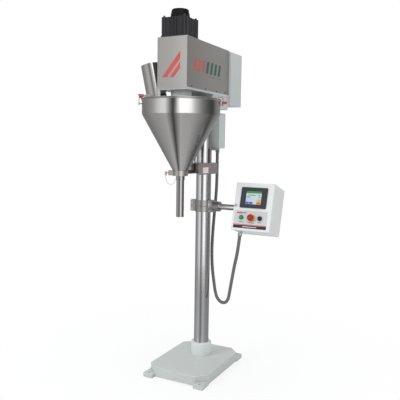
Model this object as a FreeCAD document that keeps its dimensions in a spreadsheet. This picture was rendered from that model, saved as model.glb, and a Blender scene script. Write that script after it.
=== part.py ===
import FreeCAD, Part
import math
import os
import re

import Sketcher

# Floor-standing auger filler for dry powders. Origin: on the floor, at the centre of the four
# anchor holes. +X is the side of the control box, -Y is the front (nozzle side), +Z is up.

Vector = FreeCAD.Vector
doc = FreeCAD.newDocument("AugerFiller")

# ---------------------------------------------------------------- driving sizes, millimetres

SIZES = {
    # cast base
    "base_width": 433, "base_depth": 617, "plateau_width": 429, "plateau_depth": 563,
    "base_height": 69, "corner_cut_x": 64, "corner_cut_y": 63, "ear_height": 28,
    "wall_lift": 6, "base_wall": 12, "plateau_round": 5, "anchor_inset_x": 30,
    "anchor_inset_y": 22, "anchor_radius": 7,
    # column and its socket
    "column_radius": 50.8, "column_wall": 3.2, "column_y": 90, "column_fit": 0.1,
    "socket_radius": 70, "socket_height": 88, "socket_round": 4,
    # head frame: plate under the cover, column housing at the rear, motor pedestal
    "head_plate_z": 1839, "head_plate_thick": 14, "head_front": 347, "head_rear": 244,
    "head_width": 205, "housing_width": 198, "housing_front": 18, "housing_drop": 86,
    "housing_round": 8, "pedestal_depth": 150, "pedestal_web": 8, "pedestal_top": 12,
    "rail_height": 18, "rail_thick": 6, "head_fit": 0.4,
    # stainless cover of the head
    "cover_height": 297, "sheet": 1.5, "cover_hole_radius": 40, "cover_screw_radius": 4,
    "cover_screw_head": 2.2, "cover_screw_shank": 2.4, "cover_screw_rise": 9,
    "screw_inset": 60, "screw_front_second": 240, "screw_rear_second": 190,
    # rear electrical enclosure
    "rear_width": 232, "rear_depth": 180, "rear_drop": 55, "rear_height": 359,
    "rear_lip": 12,
    # motor
    "motor_x": -14, "motor_flange_width": 176, "motor_flange_thick": 14,
    "motor_height": 110, "motor_width": 152, "motor_lobe_radius": 16,
    "motor_lobe_pitch": 70, "motor_cap_radius": 60, "motor_cap_waist": 58,
    "motor_cap_top_radius": 51, "motor_cap_height": 54, "motor_cap_round": 5,
    "motor_flute_radius": 6, "motor_flute_pitch": 23,
    "motor_bolt_radius": 6.5, "motor_bolt_shank": 3.4, "motor_bolt_head": 10,
    "motor_bolt_depth": 30, "shaft_radius": 9.5, "running_fit": 0.05,
    "shaft_length": 118, "shaft_reach": 40,
    # spindle line
    "spindle_y": -230, "spindle_radius": 12.7, "coupling_radius": 27,
    "coupling_length": 64, "sleeve_bore": 14, "sleeve_radius": 20, "sleeve_rise": 52,
    "pulley_radius": 40, "pulley_height": 22, "pulley_rim": 3, "belt_thick": 3,
    "belt_gap": 0.4, "gearmotor_y": -50, "gearmotor_radius": 52, "gearmotor_height": 150,
    "gearmotor_base": 10, "gearmotor_gap": 14,
    "bearing_radius": 31, "bearing_width": 12, "bearing_step": 22,
    "bearing_housing_radius": 64, "bearing_flange_radius": 84, "bearing_flange_thick": 8,
    # hopper and lid
    "hopper_radius": 246, "hopper_sheet": 2, "rim_drop": 52.5, "bead_radius": 4.5,
    "hopper_side": 91.5, "cone_height": 342, "cone_bottom_radius": 49, "neck_radius": 38,
    "neck_length": 31, "lid_thick": 3, "lid_radius": 247, "lid_bore_gap": 1.5,
    "hanger_width": 18, "hanger_thick": 4, "hanger_inset": 8,
    # infeed tube on the lid
    "infeed_radius": 63.5, "infeed_wall": 1.6, "infeed_x": -172, "infeed_lean": 13,
    "infeed_length": 224, "shoulder_height": 46.5, "shoulder_step": 0.6,
    # nozzle and auger
    "nozzle_radius": 24.25, "nozzle_wall": 1.5, "nozzle_reach": 261,
    "nozzle_step": 0.4,
    "collar_radius": 27.5, "collar_length": 30, "collar_flange": 4,
    "funnel_height": 24, "auger_gap": 0.6, "auger_pitch": 42, "auger_shaft_radius": 8,
    "flight_thick": 2.4, "flight_margin": 2, "auger_rise": 87, "auger_hub_radius": 17,
    "auger_hub_height": 35, "auger_hub_depth": 25, "flight_steps": 18,
    # agitator
    "blade_gap": 18, "blade_width": 22, "blade_thick": 6, "blade_drop": 74.5,
    "blade_lift": 75, "hub_radius": 28, "hub_height": 26, "lower_ring_bore": 26,
    "lower_ring_radius": 33,
    # hopper support at the column
    "yoke_radius": 48, "yoke_height": 33, "yoke_lug": 32, "yoke_lug_width": 28,
    "yoke_bar_width": 36, "yoke_bar_height": 22, "yoke_reach": 30, "yoke_bolt_radius": 9,
    "yoke_bolt_head": 8,
    "bracket_width": 122, "bracket_front": -93.5, "bracket_rear": 173,
    "bracket_rise": 73, "bracket_height": 75, "bracket_sheet": 3,
    "block_depth": 140, "block_height": 48, "block_slit": 4,
    "bracket_bolt_radius": 7, "bracket_bolt_head": 5, "bracket_bolt_pitch": 30,
    # stand of the junction box
    "frame_front": 62, "frame_rear": 190, "frame_height": 96.5, "frame_sheet": 4,
    "frame_leg": 16, "frame_bar": 14,
    "junction_width": 164, "junction_front": 153, "junction_depth": 89,
    "junction_height": 237, "junction_lid": 2, "junction_round": 4,
    # quick-release pin and lanyard
    "pin_radius": 3.5, "pin_length": 46, "pin_depth": 26, "pin_sleeve_radius": 6.5,
    "pin_sleeve_length": 25, "lanyard_radius": 0.9,
    # hold-down latches of the lid
    "latch_angle": 30, "latch_pivot_r": 214, "latch_pivot_rise": 20, "latch_throw": 14,
    "latch_rod": 3, "latch_ear": 3, "latch_lever": 8, "latch_gap": 1, "latch_bar": 3,
    "latch_base_in": 186, "latch_base_out": 233, "latch_foot": 3, "latch_strip": 7, "latch_seat": 0.3,
    "latch_lip": 7, "latch_hook_leg": 6, "latch_grip_half": 8.5, "latch_grip_wall": 4,
    "front_grip_in": 228, "front_grip_out": 267, "front_grip_high": 27.5,
    "front_grip_low": 2, "front_grip_slant": 14,
    "rear_grip_in": 250.5, "rear_grip_out": 283, "rear_grip_high": -8,
    "rear_grip_low": -23, "rear_grip_slant": 2,
    "keeper_out": 257, "keeper_drop": 31, "keeper_thick": 4, "keeper_width": 34,
    # swinging arm
    "arm_z": 1104, "clamp_radius": 58, "clamp_height": 79, "clamp_slit": 5,
    "clamp_lug_reach": 90, "clamp_lug_depth": 34, "clamp_round": 6,
    "clamp_hub_radius": 30, "clamp_hub_end": 104, "arm_collar_radius": 33.5,
    "arm_collar_length": 22, "arm_radius": 19, "arm_wall": 2, "arm_start": 66,
    "clamp_bolt_radius": 6, "clamp_bolt_head": 6, "clamp_bolt_pitch": 44,
    # control box, measured from the point where the arm's axis meets the box's middle plane
    "box_x": 411, "box_width": 258, "box_height": 307, "box_depth": 192, "box_front": -128,
    "box_drop": 8, "box_lean": 16.36, "box_sheet": 2, "box_round": 5, "door_depth": 16,
    "door_gap": 0.4, "box_hub_radius": 30, "box_hub_length": 14,
    "knuckle_radius": 2.8, "knuckle_gap": 0.3, "knuckle_length": 44, "hinge_pin_radius": 1.5,
    "panel_x": 1, "panel_z": 48.8, "panel_width": 175, "panel_height": 132,
    "panel_thick": 6, "panel_round": 6, "panel_body_width": 150, "panel_body_height": 108,
    "panel_body_depth": 38, "screen_width": 102, "screen_height": 83, "screen_thick": 1.5,
    "button_z": -79, "start_x": -67, "stop_x": 0, "selector_x": 57.5,
    "button_bore": 11.2, "button_stem": 10.8, "stem_length": 34,
    "start_height": 8, "bezel_radius": 15, "bezel_height": 5, "stop_radius": 20,
    "stop_height": 14, "stop_stand": 13, "selector_radius": 12.5,
    "selector_height": 7, "selector_bar": 7, "selector_rise": 13,
    "latch_inset": 15, "latch_z": -5, "lock_radius": 9, "lock_height": 4, "lock_stem": 6,
    "cam_reach": 11, "cam_width": 8, "cam_thick": 2, "strike_depth": 5, "strike_height": 40,
    # conduit and glands
    "conduit_radius": 11, "gland_hex": 15, "gland_hex_height": 12, "gland_nut_radius": 14,
    "gland_nut_height": 16, "stand_gland_x": 44, "stand_gland_y": 205,
    "box_gland_inset": 40, "box_gland_y": -60, "loop_low": 452,
}

# Places worked out from the sizes above. Each text is an expression in words of SIZES or PLACES.
PLACES = {
    "plateau_x": "plateau_width / 2",
    "plateau_y": "plateau_depth / 2",
    "rear_low": "head_plate_z - rear_drop",
    "rear_high": "rear_low + rear_height",
    "rim_z": "head_plate_z - rim_drop",
    "cone_top": "rim_z - hopper_side",
    "cone_bottom": "cone_top - cone_height",
    "neck_bottom": "cone_bottom - neck_length",
    "nozzle_bottom": "neck_bottom - nozzle_reach",
    "collar_bottom": "neck_bottom - collar_length",
    "auger_top": "cone_bottom + auger_rise",
    "blade_top": "rim_z - blade_drop",
    "blade_bottom": "cone_bottom + blade_lift",
    "bracket_top": "neck_bottom + bracket_rise",
    "bracket_bottom": "bracket_top - bracket_height",
    "frame_top": "bracket_top + frame_height",
    "sleeve_top": "head_floor + sleeve_rise",
    "column_top": "head_plate_z",
    "column_bore": "column_radius + column_fit",
    "head_floor": "head_plate_z + head_plate_thick",
    "cover_top": "head_floor + cover_height",
    "pedestal_z": "cover_top - sheet - head_fit - pedestal_top",
    "motor_z": "cover_top + motor_flange_thick",
    "motor_top": "motor_z + motor_height",
    "lid_z": "rim_z + lid_thick",
    "shaft_low": "cover_top - shaft_length + shaft_reach",
    "coupling_low": "shaft_low - coupling_length / 2",
    "bead_z": "rim_z - bead_radius",
    "pulley_low": "sleeve_top - pulley_height",
    "auger_radius": "nozzle_radius - nozzle_wall - auger_gap",
    "cone_slope": "(hopper_radius - cone_bottom_radius) / (cone_top - cone_bottom)",
    "blade_out_low": "cone_bottom_radius + cone_slope * (blade_bottom - cone_bottom) - blade_gap",
    "blade_out_cone": "hopper_radius - blade_gap - 14",
    "yoke_top": "neck_bottom + yoke_height - 3",
    "frame_low": "bracket_top",
    "junction_z": "frame_top",
    "junction_rear": "junction_front + junction_depth",
    "latch_in": "latch_pivot_r - latch_throw",
    "door_back": "box_front + door_depth",
    "box_middle": "-box_drop",
    "box_low": "box_middle - box_height / 2",
    "latch_x": "-(box_width / 2 - latch_inset)",
    "box_gland_x": "-(box_width / 2 - box_gland_inset)",
    "arm_end": "box_x - box_width / 2 + box_sheet",
}

sheet = doc.addObject("Spreadsheet::Sheet", "Sizes")
for row, (word, number) in enumerate(SIZES.items(), start=1):
    sheet.set(f"A{row}", word)
    sheet.set(f"B{row}", str(number))
    sheet.setAlias(f"B{row}", word)
doc.recompute()

WORD = re.compile(r"[a-z][a-z_]*")


def full(text):
    """The expression with each word replaced by its cell, or by the place it stands for."""
    def swap(match):
        word = match.group(0)
        if word in SIZES:
            return "Sizes." + word
        if word in PLACES:
            return "(" + full(PLACES[word]) + ")"
        return word
    return WORD.sub(swap, str(text))


def value(text):
    """The number that an expression gives now."""
    result = sheet.evalExpression(full(text))
    return float(getattr(result, "Value", result))


def bind(thing, prop, text):
    thing.setExpression(prop, full(text))


# ---------------------------------------------------------------- frames that pieces sit in

WORLD = None
COLUMN = ("0", "column_y", "0", (0, 0, 1), "0")
SPINDLE = ("0", "spindle_y", "0", (0, 0, 1), "0")
MOTOR = ("motor_x", "spindle_y", "0", (0, 0, 1), "0")
LATCH_FRONT = ("0", "spindle_y", "lid_z", (0, 0, 1), "latch_angle - 180")
LATCH_REAR = ("0", "spindle_y", "lid_z", (0, 0, 1), "latch_angle")
INFEED = ("infeed_x", "spindle_y", "lid_z", (0, 1, 0), "-infeed_lean")
CONTROL = ("box_x", "column_y", "arm_z", (1, 0, 0), "-box_lean")

# ---------------------------------------------------------------- modelling helpers

PIECES = []


def place(thing, frame):
    if frame is WORLD:
        return
    x, y, z, axis, angle = frame
    turn = f"rotation(vector({axis[0]}; {axis[1]}; {axis[2]}); {angle})"
    bind(thing, "Placement", f"placement(vector({x}; {y}; {z}); {turn})")


def piece(name, frame=WORLD):
    body = doc.addObject("PartDesign::Body", name)
    body.Label = name
    body.AllowCompound = True
    place(body, frame)
    PIECES.append(body)
    return body


def origin_part(body, role):
    for thing in body.Origin.OriginFeatures:
        if thing.Role == role:
            return thing
    raise ValueError(role)


def sketch(body, plane="XY", offset="0"):
    sk = body.newObject("Sketcher::SketchObject", body.Name + "_sketch")
    sk.AttachmentSupport = [(origin_part(body, plane + "_Plane"), "")]
    sk.MapMode = "FlatFace"
    bind(sk, "AttachmentOffset.Base.z", offset)
    return sk


def pin(sk, geometry, point, x, y):
    for kind, text in (("DistanceX", x), ("DistanceY", y)):
        index = sk.addConstraint(Sketcher.Constraint(kind, geometry, point, value(text)))
        bind(sk, f"Constraints[{index}]", text)


def polygon(sk, points):
    """Closed outline; each corner is an (x, y) pair of expressions."""
    first = sk.GeometryCount
    corners = [Vector(value(x), value(y), 0) for x, y in points]
    count = len(points)
    for i in range(count):
        sk.addGeometry(Part.LineSegment(corners[i], corners[(i + 1) % count]))
    for i in range(count):
        following = first + (i + 1) % count
        sk.addConstraint(Sketcher.Constraint("Coincident", first + i, 2, following, 1))
    for i, (x, y) in enumerate(points):
        pin(sk, first + i, 1, x, y)


def rectangle(sk, left, right, low, high):
    polygon(sk, [(left, low), (right, low), (right, high), (left, high)])


def block(sk, width, height, x="0", y="0"):
    """Rectangle centred on x, y."""
    rectangle(sk, f"{x} - ({width}) / 2", f"{x} + ({width}) / 2",
              f"{y} - ({height}) / 2", f"{y} + ({height}) / 2")


def circle(sk, radius, x="0", y="0"):
    index = sk.GeometryCount
    sk.addGeometry(Part.Circle(Vector(value(x), value(y), 0), Vector(0, 0, 1), value(radius)))
    size = sk.addConstraint(Sketcher.Constraint("Radius", index, value(radius)))
    bind(sk, f"Constraints[{size}]", radius)
    pin(sk, index, 3, x, y)


def hexagon(sk, radius, x="0", y="0"):
    corners = []
    for i in range(6):
        corners.append((f"{x} + ({radius}) * cos({60 * i})", f"{y} + ({radius}) * sin({60 * i})"))
    polygon(sk, corners)


def feature(body, kind, sk):
    made = body.newObject("PartDesign::" + kind, f"{body.Name}_{kind}")
    made.Profile = sk
    sk.Visibility = False
    body.Tip = made
    return made


def pad(body, sk, length, back=False, middle=False):
    made = feature(body, "Pad", sk)
    bind(made, "Length", length)
    made.Reversed = back
    made.Midplane = middle
    return made


def pocket(body, sk, length=None, back=False, middle=False):
    made = feature(body, "Pocket", sk)
    if length is None:
        made.Type = 1
    else:
        bind(made, "Length", length)
    made.Reversed = back
    made.Midplane = middle
    return made


def turned(body, points, kind="Revolution"):
    """Solid of revolution about the piece's Z axis; points are (radius, height) pairs."""
    sk = sketch(body, "XZ")
    polygon(sk, points)
    made = feature(body, kind, sk)
    made.ReferenceAxis = (origin_part(body, "Z_Axis"), [""])
    made.Angle = 360
    return made


def rounded(body, radius, test):
    """Fillet on the edges of the body's present shape that pass the test."""
    doc.recompute()
    base = body.Tip
    names = []
    for number, edge in enumerate(base.Shape.Edges, start=1):
        if test(edge):
            names.append(f"Edge{number}")
    made = body.newObject("PartDesign::Fillet", body.Name + "_Fillet")
    made.Base = (base, names)
    bind(made, "Radius", radius)
    body.Tip = made
    return made


def upright(edge):
    """True for a straight edge along the local Z axis."""
    first = edge.Vertexes[0].Point
    last = edge.Vertexes[-1].Point
    across = math.hypot(first.x - last.x, first.y - last.y)
    return len(edge.Vertexes) == 2 and across < 0.01 and abs(first.z - last.z) > 0.01


def deepwise(edge):
    """True for a straight edge along the local Y axis."""
    first = edge.Vertexes[0].Point
    last = edge.Vertexes[-1].Point
    across = math.hypot(first.x - last.x, first.z - last.z)
    return len(edge.Vertexes) == 2 and across < 0.01 and abs(first.y - last.y) > 0.01


def at_height(height):
    """Test for edges that lie wholly at one height."""
    def test(edge):
        return all(abs(vertex.Point.z - height) < 0.01 for vertex in edge.Vertexes)
    return test


# ---------------------------------------------------------------- base and column

def octagon(sk, inset):
    x = f"plateau_x - {inset}"
    y = f"plateau_y - {inset}"
    polygon(sk, [
        (f"-({x})", f"-({y} - corner_cut_y)"), (f"-({x} - corner_cut_x)", f"-({y})"),
        (f"{x} - corner_cut_x", f"-({y})"), (x, f"-({y} - corner_cut_y)"),
        (x, f"{y} - corner_cut_y"), (f"{x} - corner_cut_x", y),
        (f"-({x} - corner_cut_x)", y), (f"-({x})", f"{y} - corner_cut_y")])


def make_base():
    """Hollow casting: a plateau with cut corners, and an ear with an anchor hole at each."""
    body = piece("base")
    top = sketch(body, offset="wall_lift")
    octagon(top, "0")
    pad(body, top, "base_height - wall_lift")
    rounded(body, "plateau_round", at_height(value("base_height")))
    inside = sketch(body, offset="wall_lift")
    octagon(inside, "base_wall")
    pocket(body, inside, "base_height - wall_lift - base_wall", back=True)
    ears = sketch(body)
    holes = []
    for side in ("", "-"):
        for end in ("", "-"):
            rectangle(ears, f"{side}(plateau_x - corner_cut_x)", f"{side}base_width / 2",
                      f"{end}(plateau_y - corner_cut_y)", f"{end}base_depth / 2")
            holes.append((f"{side}(base_width / 2 - anchor_inset_x)",
                          f"{end}(base_depth / 2 - anchor_inset_y)"))
    pad(body, ears, "ear_height")
    bores = sketch(body)
    for x, y in holes:
        circle(bores, "anchor_radius", x, y)
    pocket(body, bores, "ear_height", back=True)


def make_column():
    """Socket on the base, and the polished tube that stands in it and carries the head."""
    socket = piece("column_socket", COLUMN)
    turned(socket, [("column_bore", "base_height"), ("socket_radius", "base_height"),
                    ("socket_radius", "base_height + socket_height"),
                    ("column_bore", "base_height + socket_height")])
    rim = value("base_height + socket_height")
    outer = value("socket_radius")
    rounded(socket, "socket_round",
            lambda edge: at_height(rim)(edge) and edge.BoundBox.XMax > outer - 1)
    tube = piece("column_tube", COLUMN)
    ring = sketch(tube, offset="base_height")
    circle(ring, "column_radius")
    circle(ring, "column_radius - column_wall")
    pad(tube, ring, "column_top - base_height")


# ---------------------------------------------------------------- head

def make_head_frame():
    """Casting: plate, column housing, side rails for the cover and a pedestal for the motor."""
    body = piece("head_frame")
    plate = sketch(body, offset="head_plate_z")
    rectangle(plate, "-head_width / 2", "head_width / 2", "-head_front", "head_rear")
    pad(body, plate, "head_plate_thick")
    housing = sketch(body, offset="head_plate_z - housing_drop")
    rectangle(housing, "-housing_width / 2", "housing_width / 2", "housing_front", "head_rear")
    pad(body, housing, "housing_drop")
    low = value("head_plate_z - housing_drop")
    rounded(body, "housing_round",
            lambda edge: upright(edge) and min(v.Point.z for v in edge.Vertexes) < low + 1)
    bore = sketch(body, offset="head_plate_z - housing_drop")
    circle(bore, "column_bore", "0", "column_y")
    pocket(body, bore, "housing_drop", back=True)
    wall = "(sheet + head_fit)"
    rails = sketch(body, offset="head_floor")
    for side in ("", "-"):
        rectangle(rails, f"{side}(head_width / 2 - {wall} - rail_thick)",
                  f"{side}(head_width / 2 - {wall})", "-(head_front - 30)", "head_rear - 30")
    pad(body, rails, "rail_height")
    webs = sketch(body, offset="head_floor")
    for side in ("", "-"):
        rectangle(webs, f"{side}(head_width / 2 - {wall} - rail_thick - pedestal_web)",
                  f"{side}(head_width / 2 - {wall} - rail_thick + 0.01)",
                  "spindle_y - pedestal_depth / 2", "spindle_y + pedestal_depth / 2")
    pad(body, webs, "pedestal_z - head_floor")
    shelf = sketch(body, offset="pedestal_z")
    block(shelf, f"head_width - 2 * ({wall} + rail_thick)", "pedestal_depth", "0", "spindle_y")
    pad(body, shelf, "pedestal_top")
    hole = sketch(body, offset="pedestal_z")
    circle(hole, "cover_hole_radius", "0", "spindle_y")
    pocket(body, hole, "pedestal_top", back=True)
    sleeve_hole = sketch(body, offset="head_plate_z")
    circle(sleeve_hole, "sleeve_radius + lid_bore_gap", "0", "spindle_y")
    pocket(body, sleeve_hole, "head_plate_thick", back=True)


COVER_SCREWS = ("-head_front + screw_inset", "-head_front + screw_front_second",
                "head_rear - screw_rear_second", "head_rear - screw_inset")


def make_cover():
    """Folded stainless cover, open below, with a hole for the motor's coupling in its top."""
    body = piece("head_cover")
    outside = sketch(body, offset="head_floor")
    rectangle(outside, "-head_width / 2", "head_width / 2", "-head_front", "head_rear")
    pad(body, outside, "cover_height")
    rounded(body, "sheet * 1.5", lambda edge: upright(edge) or at_height(value("cover_top"))(edge))
    inside = sketch(body, offset="head_floor")
    rectangle(inside, "-(head_width / 2 - sheet)", "head_width / 2 - sheet",
              "-(head_front - sheet)", "head_rear - sheet")
    pocket(body, inside, "cover_height - sheet", back=True)
    hole = sketch(body, offset="head_floor")
    circle(hole, "cover_hole_radius", "0", "spindle_y")
    pocket(body, hole, "cover_height", back=True)
    holes = sketch(body, "YZ")
    for y in COVER_SCREWS:
        circle(holes, "cover_screw_shank + running_fit", y, "head_floor + cover_screw_rise")
    pocket(body, holes, "head_width", middle=True)
    screws = piece("cover_screws")
    for side, back in (("", False), ("-", True)):
        heads = sketch(screws, "YZ", f"{side}head_width / 2")
        shanks = sketch(screws, "YZ", f"{side}head_width / 2")
        for y in COVER_SCREWS:
            circle(heads, "cover_screw_radius", y, "head_floor + cover_screw_rise")
            circle(shanks, "cover_screw_shank", y, "head_floor + cover_screw_rise")
        pad(screws, heads, "cover_screw_head", back=back)
        pad(screws, shanks, "sheet + head_fit", back=not back)


def make_rear_enclosure():
    """Painted sheet box on the back of the head, closed by a lid at its rear."""
    body = piece("rear_enclosure")
    outside = sketch(body, offset="rear_low")
    rectangle(outside, "-rear_width / 2", "rear_width / 2", "head_rear",
              "head_rear + rear_depth - sheet")
    pad(body, outside, "rear_high - rear_low")
    rounded(body, "sheet * 1.5", lambda edge: upright(edge) and edge.BoundBox.YMax
            < value("head_rear") + 1)
    inside = sketch(body, "XZ", "-(head_rear + sheet)")
    rectangle(inside, "-(rear_width / 2 - sheet)", "rear_width / 2 - sheet",
              "rear_low + sheet", "rear_high - sheet")
    pocket(body, inside, "rear_depth", back=False)
    lid = piece("rear_lid")
    face = sketch(lid, "XZ", "-(head_rear + rear_depth - sheet)")
    rectangle(face, "-rear_width / 2", "rear_width / 2", "rear_low", "rear_high")
    pad(lid, face, "sheet", back=True)
    fold = sketch(lid, "XZ", "-(head_rear + rear_depth - sheet)")
    rectangle(fold, "-(rear_width / 2 - sheet - head_fit)", "rear_width / 2 - sheet - head_fit",
              "rear_low + sheet + head_fit", "rear_high - sheet - head_fit")
    rectangle(fold, "-(rear_width / 2 - 2 * sheet - head_fit)",
              "rear_width / 2 - 2 * sheet - head_fit",
              "rear_low + 2 * sheet + head_fit", "rear_high - 2 * sheet - head_fit")
    pad(lid, fold, "rear_lip")


# ---------------------------------------------------------------- motor

def corner_points(pitch):
    return [(f"{a}{pitch}", f"{b}{pitch}") for a in ("", "-") for b in ("", "-")]


def make_motor():
    """Square geared motor on its flange, whose shaft leaves it off centre, on the spindle's axis.

    It has a lobe for a tie bolt at each corner, flutes in its sides and an end cap.
    """
    body = piece("motor_body", MOTOR)
    flange = sketch(body, offset="cover_top")
    block(flange, "motor_flange_width", "motor_flange_width")
    pad(body, flange, "motor_flange_thick")
    rounded(body, "motor_lobe_radius * 0.75", upright)
    core = sketch(body, offset="motor_z")
    block(core, "motor_width", "motor_width")
    pad(body, core, "motor_height")
    flutes = sketch(body, offset="motor_z")
    for across in ("-motor_width / 2", "motor_width / 2"):
        for step in ("-motor_flute_pitch", "0", "motor_flute_pitch"):
            circle(flutes, "motor_flute_radius", across, step)
            circle(flutes, "motor_flute_radius", step, across)
    pocket(body, flutes, "motor_height", back=True)
    lobes = sketch(body, offset="motor_z")
    for x, y in corner_points("motor_lobe_pitch"):
        circle(lobes, "motor_lobe_radius", x, y)
    pad(body, lobes, "motor_height")
    bolt_bores = sketch(body, offset="motor_top")
    for x, y in corner_points("motor_lobe_pitch"):
        circle(bolt_bores, "motor_bolt_shank + running_fit", x, y)
    pocket(body, bolt_bores, "motor_bolt_depth + 1")
    bore = sketch(body, offset="cover_top")
    circle(bore, "shaft_radius + running_fit", "-motor_x", "0")
    pocket(body, bore, "motor_flange_thick + shaft_reach", back=True)

    bolts = piece("motor_bolts", MOTOR)
    heads = sketch(bolts, offset="motor_top")
    shanks = sketch(bolts, offset="motor_top")
    for x, y in corner_points("motor_lobe_pitch"):
        hexagon(heads, "motor_bolt_radius", x, y)
        circle(shanks, "motor_bolt_shank", x, y)
    pad(bolts, heads, "motor_bolt_head")
    pad(bolts, shanks, "motor_bolt_depth", back=True)

    cap = piece("motor_cap", MOTOR)
    turned(cap, [("0", "motor_top"), ("motor_cap_radius", "motor_top"),
                 ("motor_cap_waist", "motor_top + motor_cap_height * 0.4"),
                 ("motor_cap_top_radius", "motor_top + motor_cap_height"),
                 ("0", "motor_top + motor_cap_height")])
    top = value("motor_top + motor_cap_height")
    rounded(cap, "motor_cap_round", at_height(top))

    shaft = piece("motor_shaft", SPINDLE)
    rod = sketch(shaft, offset="shaft_low")
    circle(rod, "shaft_radius")
    pad(shaft, rod, "motor_z + shaft_reach - 1 - shaft_low")


# ---------------------------------------------------------------- spindle line

def make_spindle():
    """Coupling, spindle, and the sleeve and pulley that turn the agitator round it."""
    spindle = piece("drive_spindle", SPINDLE)
    rod = sketch(spindle, offset="auger_top + auger_hub_height - auger_hub_depth")
    circle(rod, "spindle_radius")
    pad(spindle, rod, "shaft_low - (auger_top + auger_hub_height - auger_hub_depth)")

    coupling = piece("shaft_coupling", SPINDLE)
    turned(coupling, [
        ("spindle_radius", "coupling_low"), ("coupling_radius", "coupling_low"),
        ("coupling_radius", "coupling_low + coupling_length"),
        ("shaft_radius", "coupling_low + coupling_length"), ("shaft_radius", "shaft_low"),
        ("spindle_radius", "shaft_low")])
    slits = sketch(coupling, "XZ")
    for step in ("-8", "0", "8"):
        rectangle(slits, "spindle_radius + 4", "coupling_radius + 1",
                  f"shaft_low + {step} - 1", f"shaft_low + {step} + 1")
    pocket(coupling, slits, "coupling_radius * 3", middle=True)

    sleeve = piece("agitator_sleeve", SPINDLE)
    low = "blade_top - hub_height"
    turned(sleeve, [
        ("sleeve_bore", low), ("sleeve_radius", low), ("sleeve_radius", "pulley_low"),
        ("pulley_radius + pulley_rim", "pulley_low"),
        ("pulley_radius + pulley_rim", "pulley_low + pulley_rim"),
        ("pulley_radius", "pulley_low + pulley_rim"),
        ("pulley_radius", "sleeve_top - pulley_rim"),
        ("pulley_radius + pulley_rim", "sleeve_top - pulley_rim"),
        ("pulley_radius + pulley_rim", "sleeve_top"), ("sleeve_bore", "sleeve_top")])

    bearings = piece("spindle_bearings", SPINDLE)
    for step in ("0", "bearing_step"):
        z = f"lid_z + bearing_flange_thick + {step}"
        ring = sketch(bearings, offset=z)
        circle(ring, "bearing_radius")
        circle(ring, "sleeve_radius + running_fit")
        pad(bearings, ring, "bearing_width")

    housing = piece("bearing_housing", SPINDLE)
    turned(housing, [
        ("sleeve_radius + lid_bore_gap", "lid_z"), ("bearing_flange_radius", "lid_z"),
        ("bearing_flange_radius", "lid_z + bearing_flange_thick"),
        ("bearing_housing_radius", "lid_z + bearing_flange_thick"),
        ("bearing_housing_radius", "head_plate_z"), ("bearing_radius", "head_plate_z"),
        ("bearing_radius", "lid_z + bearing_flange_thick"),
        ("sleeve_radius + lid_bore_gap", "lid_z + bearing_flange_thick")])


def make_agitator_drive():
    """Gearmotor beside the spindle, its pulley, and the flat belt to the sleeve's pulley."""
    motor = piece("agitator_gearmotor")
    foot = sketch(motor, offset="head_floor")
    block(foot, "gearmotor_radius * 2", "gearmotor_radius * 2", "0", "gearmotor_y")
    pad(motor, foot, "gearmotor_base")
    drum = sketch(motor, offset="sleeve_top + gearmotor_gap")
    circle(drum, "gearmotor_radius", "0", "gearmotor_y")
    pad(motor, drum, "gearmotor_height")
    legs = sketch(motor, offset="head_floor")
    for side in ("", "-"):
        rectangle(legs, f"{side}(pulley_radius + pulley_rim + 4)", f"{side}gearmotor_radius",
                  "gearmotor_y + 8", "gearmotor_y + 38")
    pad(motor, legs, "sleeve_top + gearmotor_gap - head_floor + 6")
    bore = sketch(motor, offset="sleeve_top + gearmotor_gap")
    circle(bore, "shaft_radius + running_fit", "0", "gearmotor_y")
    pocket(motor, bore, "shaft_reach", back=True)

    pulley = piece("agitator_pulley", ("0", "gearmotor_y", "0", (0, 0, 1), "0"))
    turned(pulley, [
        ("0", "pulley_low"), ("pulley_radius + pulley_rim", "pulley_low"),
        ("pulley_radius + pulley_rim", "pulley_low + pulley_rim"),
        ("pulley_radius", "pulley_low + pulley_rim"),
        ("pulley_radius", "sleeve_top - pulley_rim"),
        ("pulley_radius + pulley_rim", "sleeve_top - pulley_rim"),
        ("pulley_radius + pulley_rim", "sleeve_top"), ("shaft_radius", "sleeve_top"),
        ("shaft_radius", "sleeve_top + gearmotor_gap + shaft_reach - 1"),
        ("0", "sleeve_top + gearmotor_gap + shaft_reach - 1")])

    belt = piece("agitator_belt")
    for radius, make in (("pulley_radius + belt_gap + belt_thick", pad),
                         ("pulley_radius + belt_gap", pocket)):
        for shape in ("run", "near", "far"):
            sk = sketch(belt, offset="pulley_low + pulley_rim + belt_gap")
            if shape == "run":
                rectangle(sk, f"-({radius})", radius, "spindle_y", "gearmotor_y")
            if shape == "near":
                circle(sk, radius, "0", "spindle_y")
            if shape == "far":
                circle(sk, radius, "0", "gearmotor_y")
            length = "pulley_height - 2 * (pulley_rim + belt_gap)"
            if make is pad:
                pad(belt, sk, length)
            else:
                pocket(belt, sk, length, back=True)


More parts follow.
